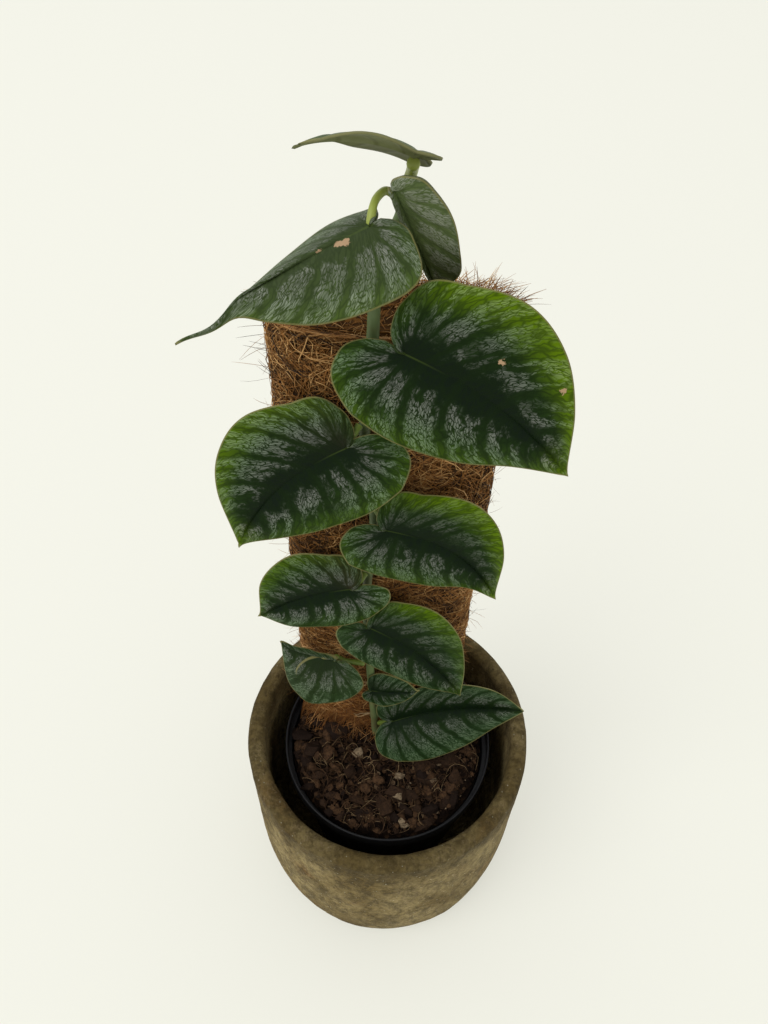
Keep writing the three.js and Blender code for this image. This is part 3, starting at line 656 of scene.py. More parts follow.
def fired_clay(look):
    """Fired clay with an earth wash, rubbed by hand: mottled patches, dust, soot and grit."""
    material, shader = new_material("Fired clay, earth wash", Roughness=0.88, Specular_IOR_Level=0.15)
    place = add(material, "TexCoord", output="Object")
    tall = add(material, "Mapping", Vector=place, Scale=(1, 1, 0.6))
    patches = add(material, "TexNoise", tall, 1 / (32 * MM), 5, 0.65)
    patches = add(material, "MapRange", patches, 0.32, 0.7, **SMOOTH)
    blotches = add(material, "TexNoise", tall, 1 / (7 * MM), 5, 0.7)
    blotches = add(material, "MapRange", blotches, 0.44, 0.64, **SMOOTH)
    dark = add(material, "Math", blotches, 0.55, **TIMES)
    speckle = add(material, "TexNoise", place, 1 / (2.2 * MM), 3, 0.6)
    speckle = add(material, "MapRange", speckle, 0.4, 0.68, **SMOOTH)
    fleck = add(material, "Math", speckle, 0.45, **TIMES)
    warm = add(material, "Mapping", Vector=place, Location=(0.3, 0.1, 0.2))
    rusty = add(material, "TexNoise", warm, 1 / (38 * MM), 4, 0.6)
    rusty = add(material, "MapRange", rusty, 0.52, 0.72, **SMOOTH)
    rusty = add(material, "Math", rusty, 0.7, **TIMES)
    # Chalky freckles 1.5 mm wide, most where the clay is rubbed pale
    chalky = add(material, "TexNoise", warm, 1 / (1.5 * MM), 4, 0.75)
    chalky = add(material, "MapRange", chalky, 0.5, 0.7, **SMOOTH)
    rubbed = add(material, "MapRange", patches, 0.0, 1.0, 0.15, 0.5, **SMOOTH)
    chalky = add(material, "Math", chalky, rubbed, **TIMES)
    # Grit under 1 mm: pale grains that the hand uncovers
    cells = add(material, "TexVoronoi", Vector=place, Scale=1 / (1.6 * MM))
    pick = add(material, "SeparateColor", Color=cells.node.outputs["Color"])
    chosen = add(material, "MapRange", pick, 0.94, 0.95, **SMOOTH)
    grit = add(material, "MapRange", cells, 0.3, 0.16, **SMOOTH)
    grit = add(material, "Math", grit, chosen, **TIMES)
    grit = add(material, "Math", grit, 0.75, **TIMES)
    # The clay is darker towards the rim.
    level = add(material, "SeparateXYZ", place, output="Z")
    darker_to_rim = add(material, "MapRange", level, 112 * MM, 138 * MM, 0.0, 0.6, **SMOOTH)
    ground = add(material, "Mix", patches, rgba(look.earth), rgba(look.dust), **COLOURS)
    washes = [(rusty, look.rust), (dark, look.soot), (fleck, look.soot), (chalky, hue("a58f72"))]
    washes += [(grit, hue("c9c2a6")), (darker_to_rim, look.soot)]
    for amount, colour in washes:
        ground = add(material, "Mix", amount, ground, rgba(colour), **COLOURS)
    height = add(material, "Math", speckle, grit, operation="SUBTRACT")
    bump = add(material, "Bump", Height=height, Distance=0.22 * MM)
    bump = add(material, "Bump", Height=blotches, Distance=0.35 * MM, Normal=bump)
    join(material, shader, Normal=bump, Base_Color=ground)
    return material


class PLANT_OT_planter(bpy.types.Operator):
    """Spins the thick clay planter and makes its wall uneven"""

    bl_idname = "plant.planter"
    bl_label = "Planter"

    def execute(self, context):
        look = context.scene.plant_planter
        p = PLANTER
        wall = p["rim"] - p["mouth"]
        foot = p["foot_rounding"]
        bulge = p["belly"] - p["foot"]
        lip = (p["mouth"] + wall / 2, p["height"] - wall / 2)
        profile = [(0, 0), *line((0, 0), (p["foot"] - foot, 0), 6)]
        profile += arc((p["foot"] - foot, foot), (foot, foot), -math.pi / 2, -math.pi / 8, 6)
        rise = p["belly_height"] - foot
        profile += arc((p["foot"], p["belly_height"]), (bulge, rise), -1.2, 0, 18)
        profile += line(profile[-1], (p["rim"], lip[1]), 22)
        profile += arc(lip, (wall / 2, wall / 2), 0, math.pi, 20)[1:]
        profile += line(profile[-1], (p["belly"] - wall - 0.5 * MM, p["belly_height"]), 22)
        profile += line(profile[-1], (p["foot"] - wall, p["floor"] + p["inside_foot"]), 8)
        profile += line(profile[-1], (p["foot"] - wall - p["inside_slope"], p["floor"]), 4)
        profile += line(profile[-1], (0, p["floor"]), 6)
        bm = turned(profile, 144)
        for vert in bm.verts:
            at = vert.co
            if at.z < 1 * MM or at.xy.length < p["foot"] - wall:
                continue
            # Swells 33 and 9 mm wide, and a grain of 2.4 mm
            wave = noise.noise(at * 30) + 0.45 * noise.noise(at * 110)
            grit = 0.30 * noise.noise(at * 420)
            away = Vector((at.x, at.y, 0)).normalized()
            vert.co = at + away * look.unevenness * (wave + grit - 0.4)
        planter = object_from(bm, "clay_planter", [fired_clay(look)])
        dress(planter, "clay", "planter")
        return {"FINISHED"}


# Nursery pot


def moulded_plastic(look):
    """Injection-moulded polypropylene: near black, with the soft gloss of a moulded skin."""
    material, shader = new_material("Polypropylene, moulded", Roughness=0.5, Specular_IOR_Level=0.25)
    place = add(material, "TexCoord", output="Object")
    scuffs = add(material, "TexNoise", place, 1 / (6 * MM), 5, 0.7)
    shade = add(material, "Mix", scuffs, rgba(look.colour), rgba(hue("17181a")), **COLOURS)
    gloss = add(material, "MapRange", scuffs, 0.3, 0.7, 0.42, 0.62, **SMOOTH)
    join(material, shader, Base_Color=shade, Roughness=gloss)
    return material


class PLANT_OT_nursery_pot(bpy.types.Operator):
    """Spins the thin black pot with its stepped lip and cuts its drain holes"""

    bl_idname = "plant.nursery_pot"
    bl_label = "Nursery pot"

    def execute(self, context):
        look = context.scene.plant_pot
        p = NURSERY_POT
        edge = p["lip_rounding"]
        lip_low = p["height"] - p["lip_depth"]
        body = p["rim"] - p["lip_step"]
        profile = [(0, p["bottom"]), *line((0, p["bottom"]), (p["foot"], p["bottom"]), 4)]
        profile += line(profile[-1], (body, lip_low), 12)
        profile += line(profile[-1], (p["rim"], lip_low), 1)
        profile += line(profile[-1], (p["rim"], p["height"] - edge), 3)
        rounding = (p["rim"] - edge, p["height"] - edge)
        profile += arc(rounding, (edge, edge), 0, math.pi, 8)[1:]
        profile += line(profile[-1], (p["rim"] - p["wall"], lip_low + 0.5 * MM), 3)
        profile += line(profile[-1], (body - p["wall"], lip_low), 1)
        profile += line(profile[-1], (p["foot"] - p["wall"], p["bottom"] + p["wall"]), 12)
        profile += line(profile[-1], (0, p["bottom"] + p["wall"]), 4)
        pot = object_from(turned(profile, 128), "black_nursery_pot", [moulded_plastic(look)])
        cutters = bmesh.new()
        for i in range(p["drains"]):
            angle = 2 * math.pi * i / p["drains"]
            away = Vector((math.cos(angle), math.sin(angle), 0)) * p["drain_circle"]
            bmesh.ops.create_cone(
                cutters,
                cap_ends=True,
                segments=24,
                radius1=p["drain"],
                radius2=p["drain"],
                depth=10 * MM,
                matrix=Matrix.Translation(away + Vector((0, 0, p["bottom"]))),
            )
        cutter = object_from(cutters, "drain_cutter", [])
        cut = pot.modifiers.new("drains", "BOOLEAN")
        cut.operation = "DIFFERENCE"
        cut.object = cutter
        baked(pot)
        bpy.data.objects.remove(cutter)
        split = pot.modifiers.new("edges", "EDGE_SPLIT")
        split.split_angle = math.radians(50)
        dress(pot, "plastic", "nursery_pot")
        return {"FINISHED"}


# Soil


def soil_height(x, y):
    """The height of the soil's lumps, as in the solid part."""
    a, b = x / MM, y / MM
    coarse = math.sin(a * 0.21 + 1.3) * math.cos(b * 0.17 - 0.6)
    fine = math.sin(a * 0.63 - b * 0.41) * math.cos(b * 0.71 + a * 0.2)
    return SOIL["level"] + SOIL["lump"] * (0.6 * coarse + 0.5 * fine)


def pot_radius(height):
    """The radius of the soil inside the nursery pot at a height."""
    p = NURSERY_POT
    top = p["height"] - p["lip_depth"]
    share = min(1, (height - p["bottom"]) / (top - p["bottom"]))
    return p["foot"] + (p["rim"] - p["lip_step"] - p["foot"]) * share - p["wall"] - SOIL["off_pot"]


def potting_mix(look):
    """Peat with crumbled bark: dark, matt, with brown and tan crumbs a few millimetres wide."""
    material, shader = new_material("Potting mix, peat and bark", Roughness=0.95, Specular_IOR_Level=0.1)
    place = add(material, "TexCoord", output="Object")
    crumbs = add(material, "TexVoronoi", Vector=place, Scale=1 / (2.4 * MM))
    pick = add(material, "SeparateColor", Color=crumbs.node.outputs["Color"])
    light = add(material, "MapRange", pick, 0.45, 1.0, **SMOOTH)
    shade = add(material, "Mix", light, rgba(look.peat, 0.7), rgba(look.bark, 0.55), **COLOURS)
    clods = add(material, "TexNoise", place, 1 / (9 * MM), 4, 0.6)
    clods = add(material, "MapRange", clods, 0.35, 0.7, **SMOOTH)
    shade = add(material, "Mix", clods, rgba(look.peat, 0.45), shade, **COLOURS)
    grains = add(material, "TexNoise", place, 1 / (1.0 * MM), 4, 0.7)
    bump = add(material, "Bump", Height=crumbs, Distance=1.2 * MM)
    bump = add(material, "Bump", Height=grains, Distance=0.5 * MM, Normal=bump)
    join(material, shader, Base_Color=shade, Normal=bump)
    return material


def bark(look):
    """Crushed pine bark: each chip its own brown, from near black to tan, with a torn grain."""
    material, shader = new_material("Pine bark, crushed", Roughness=0.85, Specular_IOR_Level=0.15)
    place = add(material, "TexCoord", output="Object")
    chip = add(material, "Attribute", attribute_name="chip", output="Fac")
    brown = add(material, "MapRange", chip, 0, 0.75, **SMOOTH)
    shade = add(material, "Mix", brown, rgba(look.peat), rgba(look.bark), **COLOURS)
    pale = add(material, "MapRange", chip, 0.9, 1.0, **SMOOTH)
    shade = add(material, "Mix", pale, shade, rgba(hue("85735a")), **COLOURS)
    grain = add(material, "TexNoise", place, 1 / (1.3 * MM), 4, 0.7)
    torn = add(material, "MapRange", grain, 0.35, 0.75, **SMOOTH)
    shade = add(material, "Mix", torn, shade, rgba(look.peat, 0.9), **COLOURS)
    bump = add(material, "Bump", Height=grain, Distance=0.5 * MM)
    join(material, shader, Base_Color=shade, Normal=bump)
    return material


def root_fibre(look):
    """Dead roots and husk threads: dull brown, some bleached to straw."""
    material, shader = new_material("Dead roots, dried", Roughness=0.8, Specular_IOR_Level=0.15)
    strand = add(material, "Attribute", attribute_name="strand", output="Fac")
    shade = add(material, "Mix", strand, rgba(look.peat, 1.4), rgba(look.bark, 1.1), **COLOURS)
    bleached = add(material, "MapRange", strand, 0.7, 1.0, **SMOOTH)
    shade = add(material, "Mix", bleached, shade, rgba(hue("7f6a4c")), **COLOURS)
    join(material, shader, Base_Color=shade)
    return material


def off_the_mat(x, y, margin):
    """True where a place on the soil is clear of the mat by some metres."""
    across = abs(x - MAT["centre"][0]) / (MAT["half_width"] + margin)
    deep = abs(y - MAT["centre"][1]) / (MAT["half_depth"] + margin)
    return across ** MAT["squareness"] + deep ** MAT["squareness"] > 1


class PLANT_OT_soil(bpy.types.Operator):
    """Fills the pot with lumpy potting mix, bark chips and fine roots"""

    bl_idname = "plant.soil"
    bl_label = "Soil"

    def execute(self, context):
        look = context.scene.plant_soil
        rng = np.random.default_rng(3)
        bed = self.bed(look)
        dress(bed, "soil", "soil")
        dress(self.chips(look, rng), "soil")
        dress(self.roots(look, rng), "soil")
        return {"FINISHED"}

    def bed(self, look):
        """The soil itself: clods of 2 and 5 mm on its lumps, which die out at the pot's wall."""
        edge = pot_radius(SOIL["edge"])
        low = SOIL["bottom"]
        profile = [(0, low), *line((0, low), (pot_radius(low), low), 3)]
        profile += line(profile[-1], (edge, SOIL["edge"]), 8)
        profile += line(profile[-1], (0, SOIL["edge"] + 1.5 * MM), 62)
        bm = turned(profile, 170)
        for vert in bm.verts:
            at = vert.co
            if at.z <= SOIL["edge"] + 0.01 * MM:
                continue
            clods = noise.noise(at * 190) * 2.2 * MM + noise.noise(at * 520) * 1.1 * MM
            share = float(ease(edge - at.xy.length, 0, 3 * MM))
            lift = soil_height(at.x, at.y) + clods - SOIL["edge"]
            vert.co.z = SOIL["edge"] + share * max(lift, 0.2 * MM)
        return object_from(bm, "soil_bed", [potting_mix(look)])

    def scattered(self, rng, count, reach):
        """Places on the soil that are clear of the mat and the stem."""
        places = []
        while len(places) < count:
            x, y = rng.uniform(-reach, reach, 2)
            from_stem = math.hypot(x - STEM_PATH[1][0], y - STEM_PATH[1][1])
            clear = off_the_mat(x, y, SOIL["off_mat"]) and from_stem >= SOIL["off_stem"]
            if clear and math.hypot(x, y) <= reach:
                places.append((x, y, soil_height(x, y)))
        return np.array(places)

    def chips(self, look, rng):
        """Bark chips of all sizes that lie on the soil, the first few as large dark lumps."""
        bm = bmesh.new()
        bmesh.ops.create_icosphere(bm, subdivisions=1, radius=0.5)
        piece, one = copies(bm, "bark_chips", look.chips, bark(look), smooth=False)
        count, lumps = look.chips, SOIL["lumps"]
        places = self.scattered(rng, count, SOIL["chip_reach"])
        long = rng.gamma(2.0, 1.5, count).clip(1.2, 10.5) * MM
        long[:lumps] = rng.uniform(9, 16, lumps) * MM
        wide, thick = rng.uniform(0.45, 0.9, count), rng.uniform(0.25, 0.6, count)
        sizes = np.stack([long, long * wide, long * thick], axis=1)
        jitter = 1 + rng.uniform(-0.4, 0.4, (count, len(one), 3))
        local = one[None] * sizes[:, None] * jitter
        tilt = rng.uniform(-0.6, 0.6, (2, count))
        turn = rng.uniform(0, 2 * math.pi, count)
        lean = [Euler((a, b, t)).to_matrix() for a, b, t in zip(*tilt, turn)]
        local = np.einsum("cij,cvj->cvi", np.array(lean), local)
        places[:, 2] += rng.uniform(-0.2, 0.9, count) * MM + sizes[:, 2] * 0.2
        places[:lumps, 2] -= sizes[:lumps, 2] * 0.15
        local += places[:, None]
        piece.data.vertices.foreach_set("co", local.ravel().astype(np.float32))
        shades = rng.random(count)
        shades[:lumps] *= 0.35
        keep_shades(piece, "chip", shades, len(one))
        return piece

    def roots(self, look, rng, points=7):
        """Thin roots that wander over the soil in low arches."""
        count = look.roots
        starts = self.scattered(rng, count, SOIL["root_reach"])
        turn = rng.uniform(0, 2 * math.pi, count)
        bend = rng.uniform(-0.5, 0.5, count)
        step = rng.uniform(0.8, 3.2, count) * MM
        paths = np.zeros((count, points, 3))
        for i in range(count):
            at = starts[i].copy()
            for k in range(points):
                if math.hypot(*at[:2]) > SOIL["reach"]:
                    at[:2] *= SOIL["reach"] / math.hypot(*at[:2])
                arch = math.sin(math.pi * k / (points - 1)) * rng.uniform(0.5, 2.6) * MM
                paths[i, k] = (at[0], at[1], soil_height(at[0], at[1]) + 0.9 * MM + arch)
                heading = turn[i] + bend[i] * k
                at[:2] += step[i] * np.array([math.cos(heading), math.sin(heading)])
        radii = rng.uniform(0.07, 0.26, (count, 1)) * MM * np.ones((1, points))
        return strands("soil_roots", paths, radii, 3, root_fibre(look), rng)


# Board and coir mat


def mat_place(angle, height, out=0.0):
    """Places on the mat's side, as arrays: an angle round it, a height and how far out."""
    power = 2 / MAT["squareness"]
    rim = NURSERY_POT["height"]
    settle = ease(height, rim + MAT["settles"][0], rim + MAT["settles"][1])
    half = MAT["bulge"] + (MAT["half_width"] - MAT["bulge"]) * settle
    across = np.sign(np.cos(angle)) * np.abs(np.cos(angle)) ** power
    deep = np.sign(np.sin(angle)) * np.abs(np.sin(angle)) ** power
    x = MAT["centre"][0] + (half + out) * across
    y = MAT["centre"][1] + (MAT["half_depth"] + out) * deep
    away = np.hypot(x, y)
    pressed = pot_radius(MAT["bottom"]) - MAT["pressed"] + out
    shrink = np.where(height <= rim + 1 * MM, np.minimum(1, pressed / away), 1)
    return np.stack([x * shrink, y * shrink, height + 0 * x], axis=-1)


def coir_felt(look):
    """The needled felt under the loose fibres: a dark brown that paints the shade in the gaps between
    them, matt, with fibre marks at all angles.
    """
    material, shader = new_material("Coir felt, needled", Roughness=0.95, Specular_IOR_Level=0.1)
    place = add(material, "TexCoord", output="Object")
    marks = 0.0
    # Fibre marks 0.5 mm wide and 8 mm long, in three directions
    size = (1 / (8 * MM), 400, 1 / (0.5 * MM))
    for turn in (0.4, 1.5, 2.6):
        turned_place = add(material, "Mapping", Vector=place, Rotation=(0, turn, 0), Scale=size)
        mark = add(material, "TexNoise", turned_place, 1.0, 1.0)
        mark = add(material, "MapRange", mark, 0.52, 0.68, **SMOOTH)
        marks = add(material, "Math", marks, mark, operation="MAXIMUM")
    clump = add(material, "TexNoise", place, 1 / (14 * MM), 3)
    clump = add(material, "MapRange", clump, 0.35, 0.65, **SMOOTH)
    # Painted shade: the felt's brown is kept near black, in clumps 14 mm wide, as the shade between the
    # fibres.
    dark = add(material, "Mix", clump, rgba(look.colour, 0.08), rgba(look.colour, 0.2), **COLOURS)
    shade = add(material, "Mix", marks, dark, rgba(look.colour, 0.5), **COLOURS)
    bump = add(material, "Bump", Height=marks, Distance=0.5 * MM)
    join(material, shader, Base_Color=shade, Normal=bump)
    return material


def coir_fibre(look):
    """Coconut husk fibre: each strand its own tone from dark brown to straw, slightly glossy."""
    material, shader = new_material("Coconut husk fibre", Roughness=0.62, Specular_IOR_Level=0.25)
    place = add(material, "TexCoord", output="Object")
    strand = add(material, "Attribute", attribute_name="strand", output="Fac")
    clump = add(material, "TexNoise", place, 1 / (16 * MM), 3)
    clump = add(material, "MapRange", clump, 0.3, 0.7, **SMOOTH)
    tone = add(material, "Math", strand, 0.75, **TIMES)
    tone = add(material, "Math", clump, 0.25, tone, **TIMES_PLUS)
    brown = add(material, "MapRange", tone, 0.12, 0.55, **SMOOTH)
    shade = add(material, "Mix", brown, rgba(look.colour, 0.08), rgba(look.colour), **COLOURS)
    straw = add(material, "MapRange", tone, 0.58, 0.95, **SMOOTH)
    shade = add(material, "Mix", straw, shade, rgba(hue("d6aa6e")), **COLOURS)
    # The foot of the mat, inside the planter, is a clearer orange.
    level = add(material, "SeparateXYZ", place, output="Z")
    foot = add(material, "MapRange", level, 210 * MM, 135 * MM, 0.0, 0.3, **SMOOTH)
    shade = add(material, "Mix", foot, shade, rgba(hue("a86c36")), **COLOURS)
    join(material, shader, Base_Color=shade)
    return material


def sawn_softwood(look):
    """Sawn softwood: growth rings a few millimetres apart, drawn out along the board."""
    material, shader = new_material("Softwood board, sawn", Roughness=0.75)
    place = add(material, "TexCoord", output="Object")
    drawn = add(material, "Mapping", Vector=place, Scale=(1, 1, 0.06))
    rings = add(material, "TexNoise", drawn, 1 / (3 * MM), 3, 0.6)
    shade = add(material, "Mix", rings, rgba(look.colour, 0.6), rgba(look.colour), **COLOURS)
    bump = add(material, "Bump", Height=rings, Distance=0.15 * MM)
    join(material, shader, Base_Color=shade, Normal=bump)
    return material


class PLANT_OT_core_board(bpy.types.Operator):
    """Gives the wooden board inside the mat its grain"""

    bl_idname = "plant.core_board"
    bl_label = "Core board"

    def execute(self, context):
        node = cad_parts["core_board"]
        node.data.materials.clear()
        node.data.materials.append(sawn_softwood(context.scene.plant_board))
        return {"FINISHED"}


class PLANT_OT_coir_mat(bpy.types.Operator):
    """Wraps the board in coir felt"""

    bl_idname = "plant.coir_mat"
    bl_label = "Coir mat"

    def execute(self, context):
        look = context.scene.plant_coir
        columns, cap_rows, side_rows = 168, 8, 110
        pocket = (BOARD_HIGH - BOARD_LOW) / 2 + Vector((CLEARANCE, CLEARANCE, CLEARANCE))
        pocket_top = BOARD_HIGH.z + CLEARANCE
        # Rows of the loft: down the pocket's inside, round the lower edge, up the side, over the top
        rows = [("pocket", 0.02, pocket_top), ("pocket", 1, pocket_top), ("pocket", 1, MAT["bottom"])]
        for share in np.linspace(0, 1, side_rows):
            rows.append(("side", 1, MAT["bottom"] + (MAT["top"] - MAT["bottom"]) * share))
        for share in np.linspace(1, 0, cap_rows)[1:]:
            rows.append(("side", max(0.02, share), MAT["top"]))
        bm = bmesh.new()
        bmesh.ops.create_grid(bm, x_segments=columns, y_segments=len(rows) - 1, size=0.5)
        for vert in bm.verts:
            angle = (vert.co.x + 0.5) * 2 * math.pi
            kind, share, height = rows[round((vert.co.y + 0.5) * (len(rows) - 1))]
            if kind == "pocket":
                corner = (math.cos(angle), math.sin(angle))
                square = share / max(abs(c) for c in corner)
                at = Vector((*MAT["centre"], height))
                at.x += pocket.x * corner[0] * square
                at.y += pocket.y * corner[1] * square
            else:
                at = self.felted(angle, share, height)
            vert.co = at
        bmesh.ops.remove_doubles(bm, verts=bm.verts, dist=0.002 * MM)
        bmesh.ops.holes_fill(bm, edges=[e for e in bm.edges if e.is_boundary], sides=0)
        bmesh.ops.recalc_face_normals(bm, faces=bm.faces)
        mat = object_from(bm, "coir_mat", [coir_felt(look)])
        dress(mat, "coir", "coir_sleeve")
        return {"FINISHED"}

    def felted(self, angle, share, height):
        """A place on the mat, drawn in towards its middle on top, with the felt's lumps."""
        place = Vector(mat_place(angle, height, MAT["felt"]))
        middle = Vector((*MAT["centre"], height))
        at = middle + (place - middle) * share
        # Lumps 14 and 4 mm wide
        lumps = 0.9 * noise.noise(place * 70) + 0.5 * noise.noise(place * 260)
        if height > NURSERY_POT["height"] + 2 * MM:
            at += (place - middle).normalized() * lumps * MM * share
        edge = ease(height, MAT["top"] - 3 * MM, MAT["top"])
        at += (middle - place).normalized() * 2.2 * MM * float(edge) * share
        if share < 1:
            at.z += (0.7 * lumps - 0.6) * MM
        return at


class PLANT_OT_coir_fibres(bpy.types.Operator):
    """Lays thousands of loose coir fibres over the mat, its edges, its top and the soil"""

    bl_idname = "plant.coir_fibres"
    bl_label = "Coir fibres"

    def execute(self, context):
        look = context.scene.plant_coir
        rng = np.random.default_rng(7)
        fibre = coir_fibre(look)
        low = NURSERY_POT["height"] - 4 * MM
        half = (low + MAT["top"]) / 2
        front, back = (math.pi, 2 * math.pi), (0, math.pi)
        zones = {
            "coir_front_lower": (look.front, front, (low, half)),
            "coir_front_upper": (look.front, front, (half, MAT["top"])),
            "coir_back": (look.back, back, (low, MAT["top"])),
        }
        for name, zone in zones.items():
            self.piece(name, self.tangle(rng, *zone), (0.6, 1.5), look, fibre, rng)
        self.piece("coir_strays", self.strays(rng, look.strays), (0.3, 0.65), look, fibre, rng)
        self.piece("coir_tufts", self.tufts(rng, look.tufts), (0.45, 1.0), look, fibre, rng)
        self.piece("coir_skirt", self.skirt(rng, look.skirt), (0.5, 1.2), look, fibre, rng)
        return {"FINISHED"}

    def piece(self, name, paths, shares, look, material, rng):
        """A piece of loose fibres: each a share of the mean radius thick, and thinner at its ends."""
        radii = look.fibre_radius * rng.uniform(*shares, (len(paths), 1))
        radii = radii * np.ones((1, paths.shape[1]))
        radii[:, 0] *= 0.6
        radii[:, -1] *= 0.35
        dress(strands(name, paths, radii, 3, material, rng), "coir")

    def tangle(self, rng, count, angles, heights, points=6):
        """Curved fibres that lie on the mat's side and cross over each other."""
        angle = self.even_angles(rng, count, angles)
        height = rng.uniform(*heights, count)
        heading = rng.uniform(0, 2 * math.pi, count)
        bend = rng.normal(0, 0.42, count)
        step = rng.uniform(2.2, 6.5, count) * MM
        base = rng.uniform(-0.5, 1.1, count) * MM
        paths = np.zeros((count, points, 3))
        for k in range(points):
            rise = base + math.sin(math.pi * k / (points - 1)) * rng.uniform(0, 1.0, count) * MM
            rise = np.where((k == 0) | (k == points - 1), base - 0.8 * MM, rise)
            paths[:, k] = mat_place(angle, height, rise)
            heading = heading + bend + rng.normal(0, 0.22, count)
            # How many metres of the mat's side a radian spans here
            apart = mat_place(angle + 0.01, height) - mat_place(angle - 0.01, height)
            span = np.linalg.norm(apart, axis=1) / 0.02
            angle = angle + step * np.cos(heading) / np.maximum(span, 8 * MM)
            height = np.clip(height + step * np.sin(heading), heights[0] - 2 * MM, MAT["top"] - 0.5 * MM)
        return paths

    def even_angles(self, rng, count, angles):
        """Random angles that are spread evenly by their distance round the mat."""
        fine = np.linspace(*angles, 400)
        places = mat_place(fine, np.full(400, 0.3))
        run = np.concatenate([[0], np.cumsum(np.linalg.norm(np.diff(places, axis=0), axis=1))])
        return np.interp(rng.uniform(0, run[-1], count), run, fine)

    def strays(self, rng, count, points=5):
        """Hairs that stand off the mat's narrow sides and its back."""
        low = NURSERY_POT["height"] + 10 * MM
        side = rng.integers(0, 2, count) * math.pi
        at_side = rng.random(count) < 0.75
        near_side = side + rng.normal(0, 0.42, count)
        angle = np.where(at_side, near_side, rng.uniform(0, 2 * math.pi, count))
        height = rng.uniform(low, MAT["top"] - 2 * MM, count)
        front = np.sin(angle) < -0.55
        reach = rng.gamma(2.0, 2.6, count).clip(1.5, 15) * MM * np.where(front, 0.25, 1)
        # The longest stand off the mat's upper left, and those on its right are shorter.
        upper_left = (np.cos(angle) < -0.8) & (height > 345 * MM)
        reach *= np.where(upper_left, 1.25, 1) * np.where(np.cos(angle) > 0.8, 0.75, 1)
        drift, climb = rng.normal(0, 0.10, count), rng.normal(0, 6, count) * MM
        paths = np.zeros((count, points, 3))
        for k in range(points):
            share = k / (points - 1)
            out = -1.0 * MM + (reach + 1.0 * MM) * share
            paths[:, k] = mat_place(angle + drift * share**2, height, out)
            paths[:, k, 2] += climb * share**1.6
        return paths

    def tufts(self, rng, count, points=5):
        """Fibre ends that stand up from the mat's cut top, most at its edge."""
        thick = rng.random(count) < 0.5
        angle = np.where(thick, rng.uniform(0, 1.9, count), rng.uniform(0, 2 * math.pi, count))
        share = 1 - rng.gamma(1.5, 0.14, count).clip(0, 0.97)
        middle = np.array([*MAT["centre"], MAT["top"]])
        root = middle + (mat_place(angle, np.full(count, MAT["top"])) - middle) * share[:, None]
        root[:, 2] -= 1.5 * MM
        lean = rng.normal(0, 4.2, (count, 2)) * MM
        outwards = (root - middle)[:, :2] * rng.uniform(0, 0.16, (count, 1))
        rise = rng.gamma(1.5, 2.0, count).clip(0.8, 12) * MM
        paths = np.zeros((count, points, 3))
        for k in range(points):
            s = k / (points - 1)
            paths[:, k] = root
            paths[:, k, :2] += (lean + outwards) * s**1.5
            paths[:, k, 2] += rise * (s - 0.25 * s * s)
        return paths

    def skirt(self, rng, count, points=6):
        """Fibres that fan out from the foot of the mat over the soil."""
        angle = self.even_angles(rng, count, (math.pi - 0.4, 2 * math.pi + 0.4))
        height = rng.uniform(116, 136, count) * MM
        reach = rng.gamma(2.0, 2.6, count).clip(1, 13) * MM
        drift = rng.normal(0, 0.16, count)
        paths = np.zeros((count, points, 3))
        for k in range(points):
            share = k / (points - 1)
            at = mat_place(angle + drift * share, height, reach * share)
            away = np.hypot(at[:, 0], at[:, 1])
            at[:, :2] *= np.minimum(1, SOIL["reach"] / away)[:, None]
            ground = np.array([soil_height(x, y) for x, y in at[:, :2]]) + 0.8 * MM
            drop = height + (ground - height) * share**0.7
            lift = math.sin(math.pi * share) * rng.uniform(0, 2.5, count) * MM
            at[:, 2] = np.maximum(drop, ground) + lift
            paths[:, k] = at
        return paths


# Stem


def vine_skin(look):
    """A climbing vine's stem: green, smooth skin with brown blotches."""
    material, shader = new_material("Vine stem, living", Roughness=0.48, Specular_IOR_Level=0.25)
    place = add(material, "TexCoord", output="Object")
    drawn = add(material, "Mapping", Vector=place, Scale=(1, 1, 0.2))
    streak = add(material, "TexNoise", drawn, 1 / (1.2 * MM), 3, 0.6)
    shade = add(material, "Mix", streak, rgba(look.green, 0.75), rgba(look.green, 1.15), **COLOURS)
    blotch = add(material, "TexNoise", place, 1 / (12 * MM), 3)
    blotch = add(material, "MapRange", blotch, 0.4, 0.7, **SMOOTH)
    blotch = add(material, "Math", blotch, 0.6, **TIMES)
    shade = add(material, "Mix", blotch, shade, rgba(hue("6d5a3a")), **COLOURS)
    bump = add(material, "Bump", Height=streak, Distance=0.1 * MM)
    join(material, shader, Base_Color=shade, Normal=bump)
    return material


def aerial_root(look):
    """Aerial roots: pale brown, dry and matt."""
    material, shader = new_material("Aerial root, dry", Roughness=0.8)
    strand = add(material, "Attribute", attribute_name="strand", output="Fac")
    shade = add(material, "Mix", strand, rgba(look.root, 0.6), rgba(look.root, 1.2), **COLOURS)
    join(material, shader, Base_Color=shade)
    return material


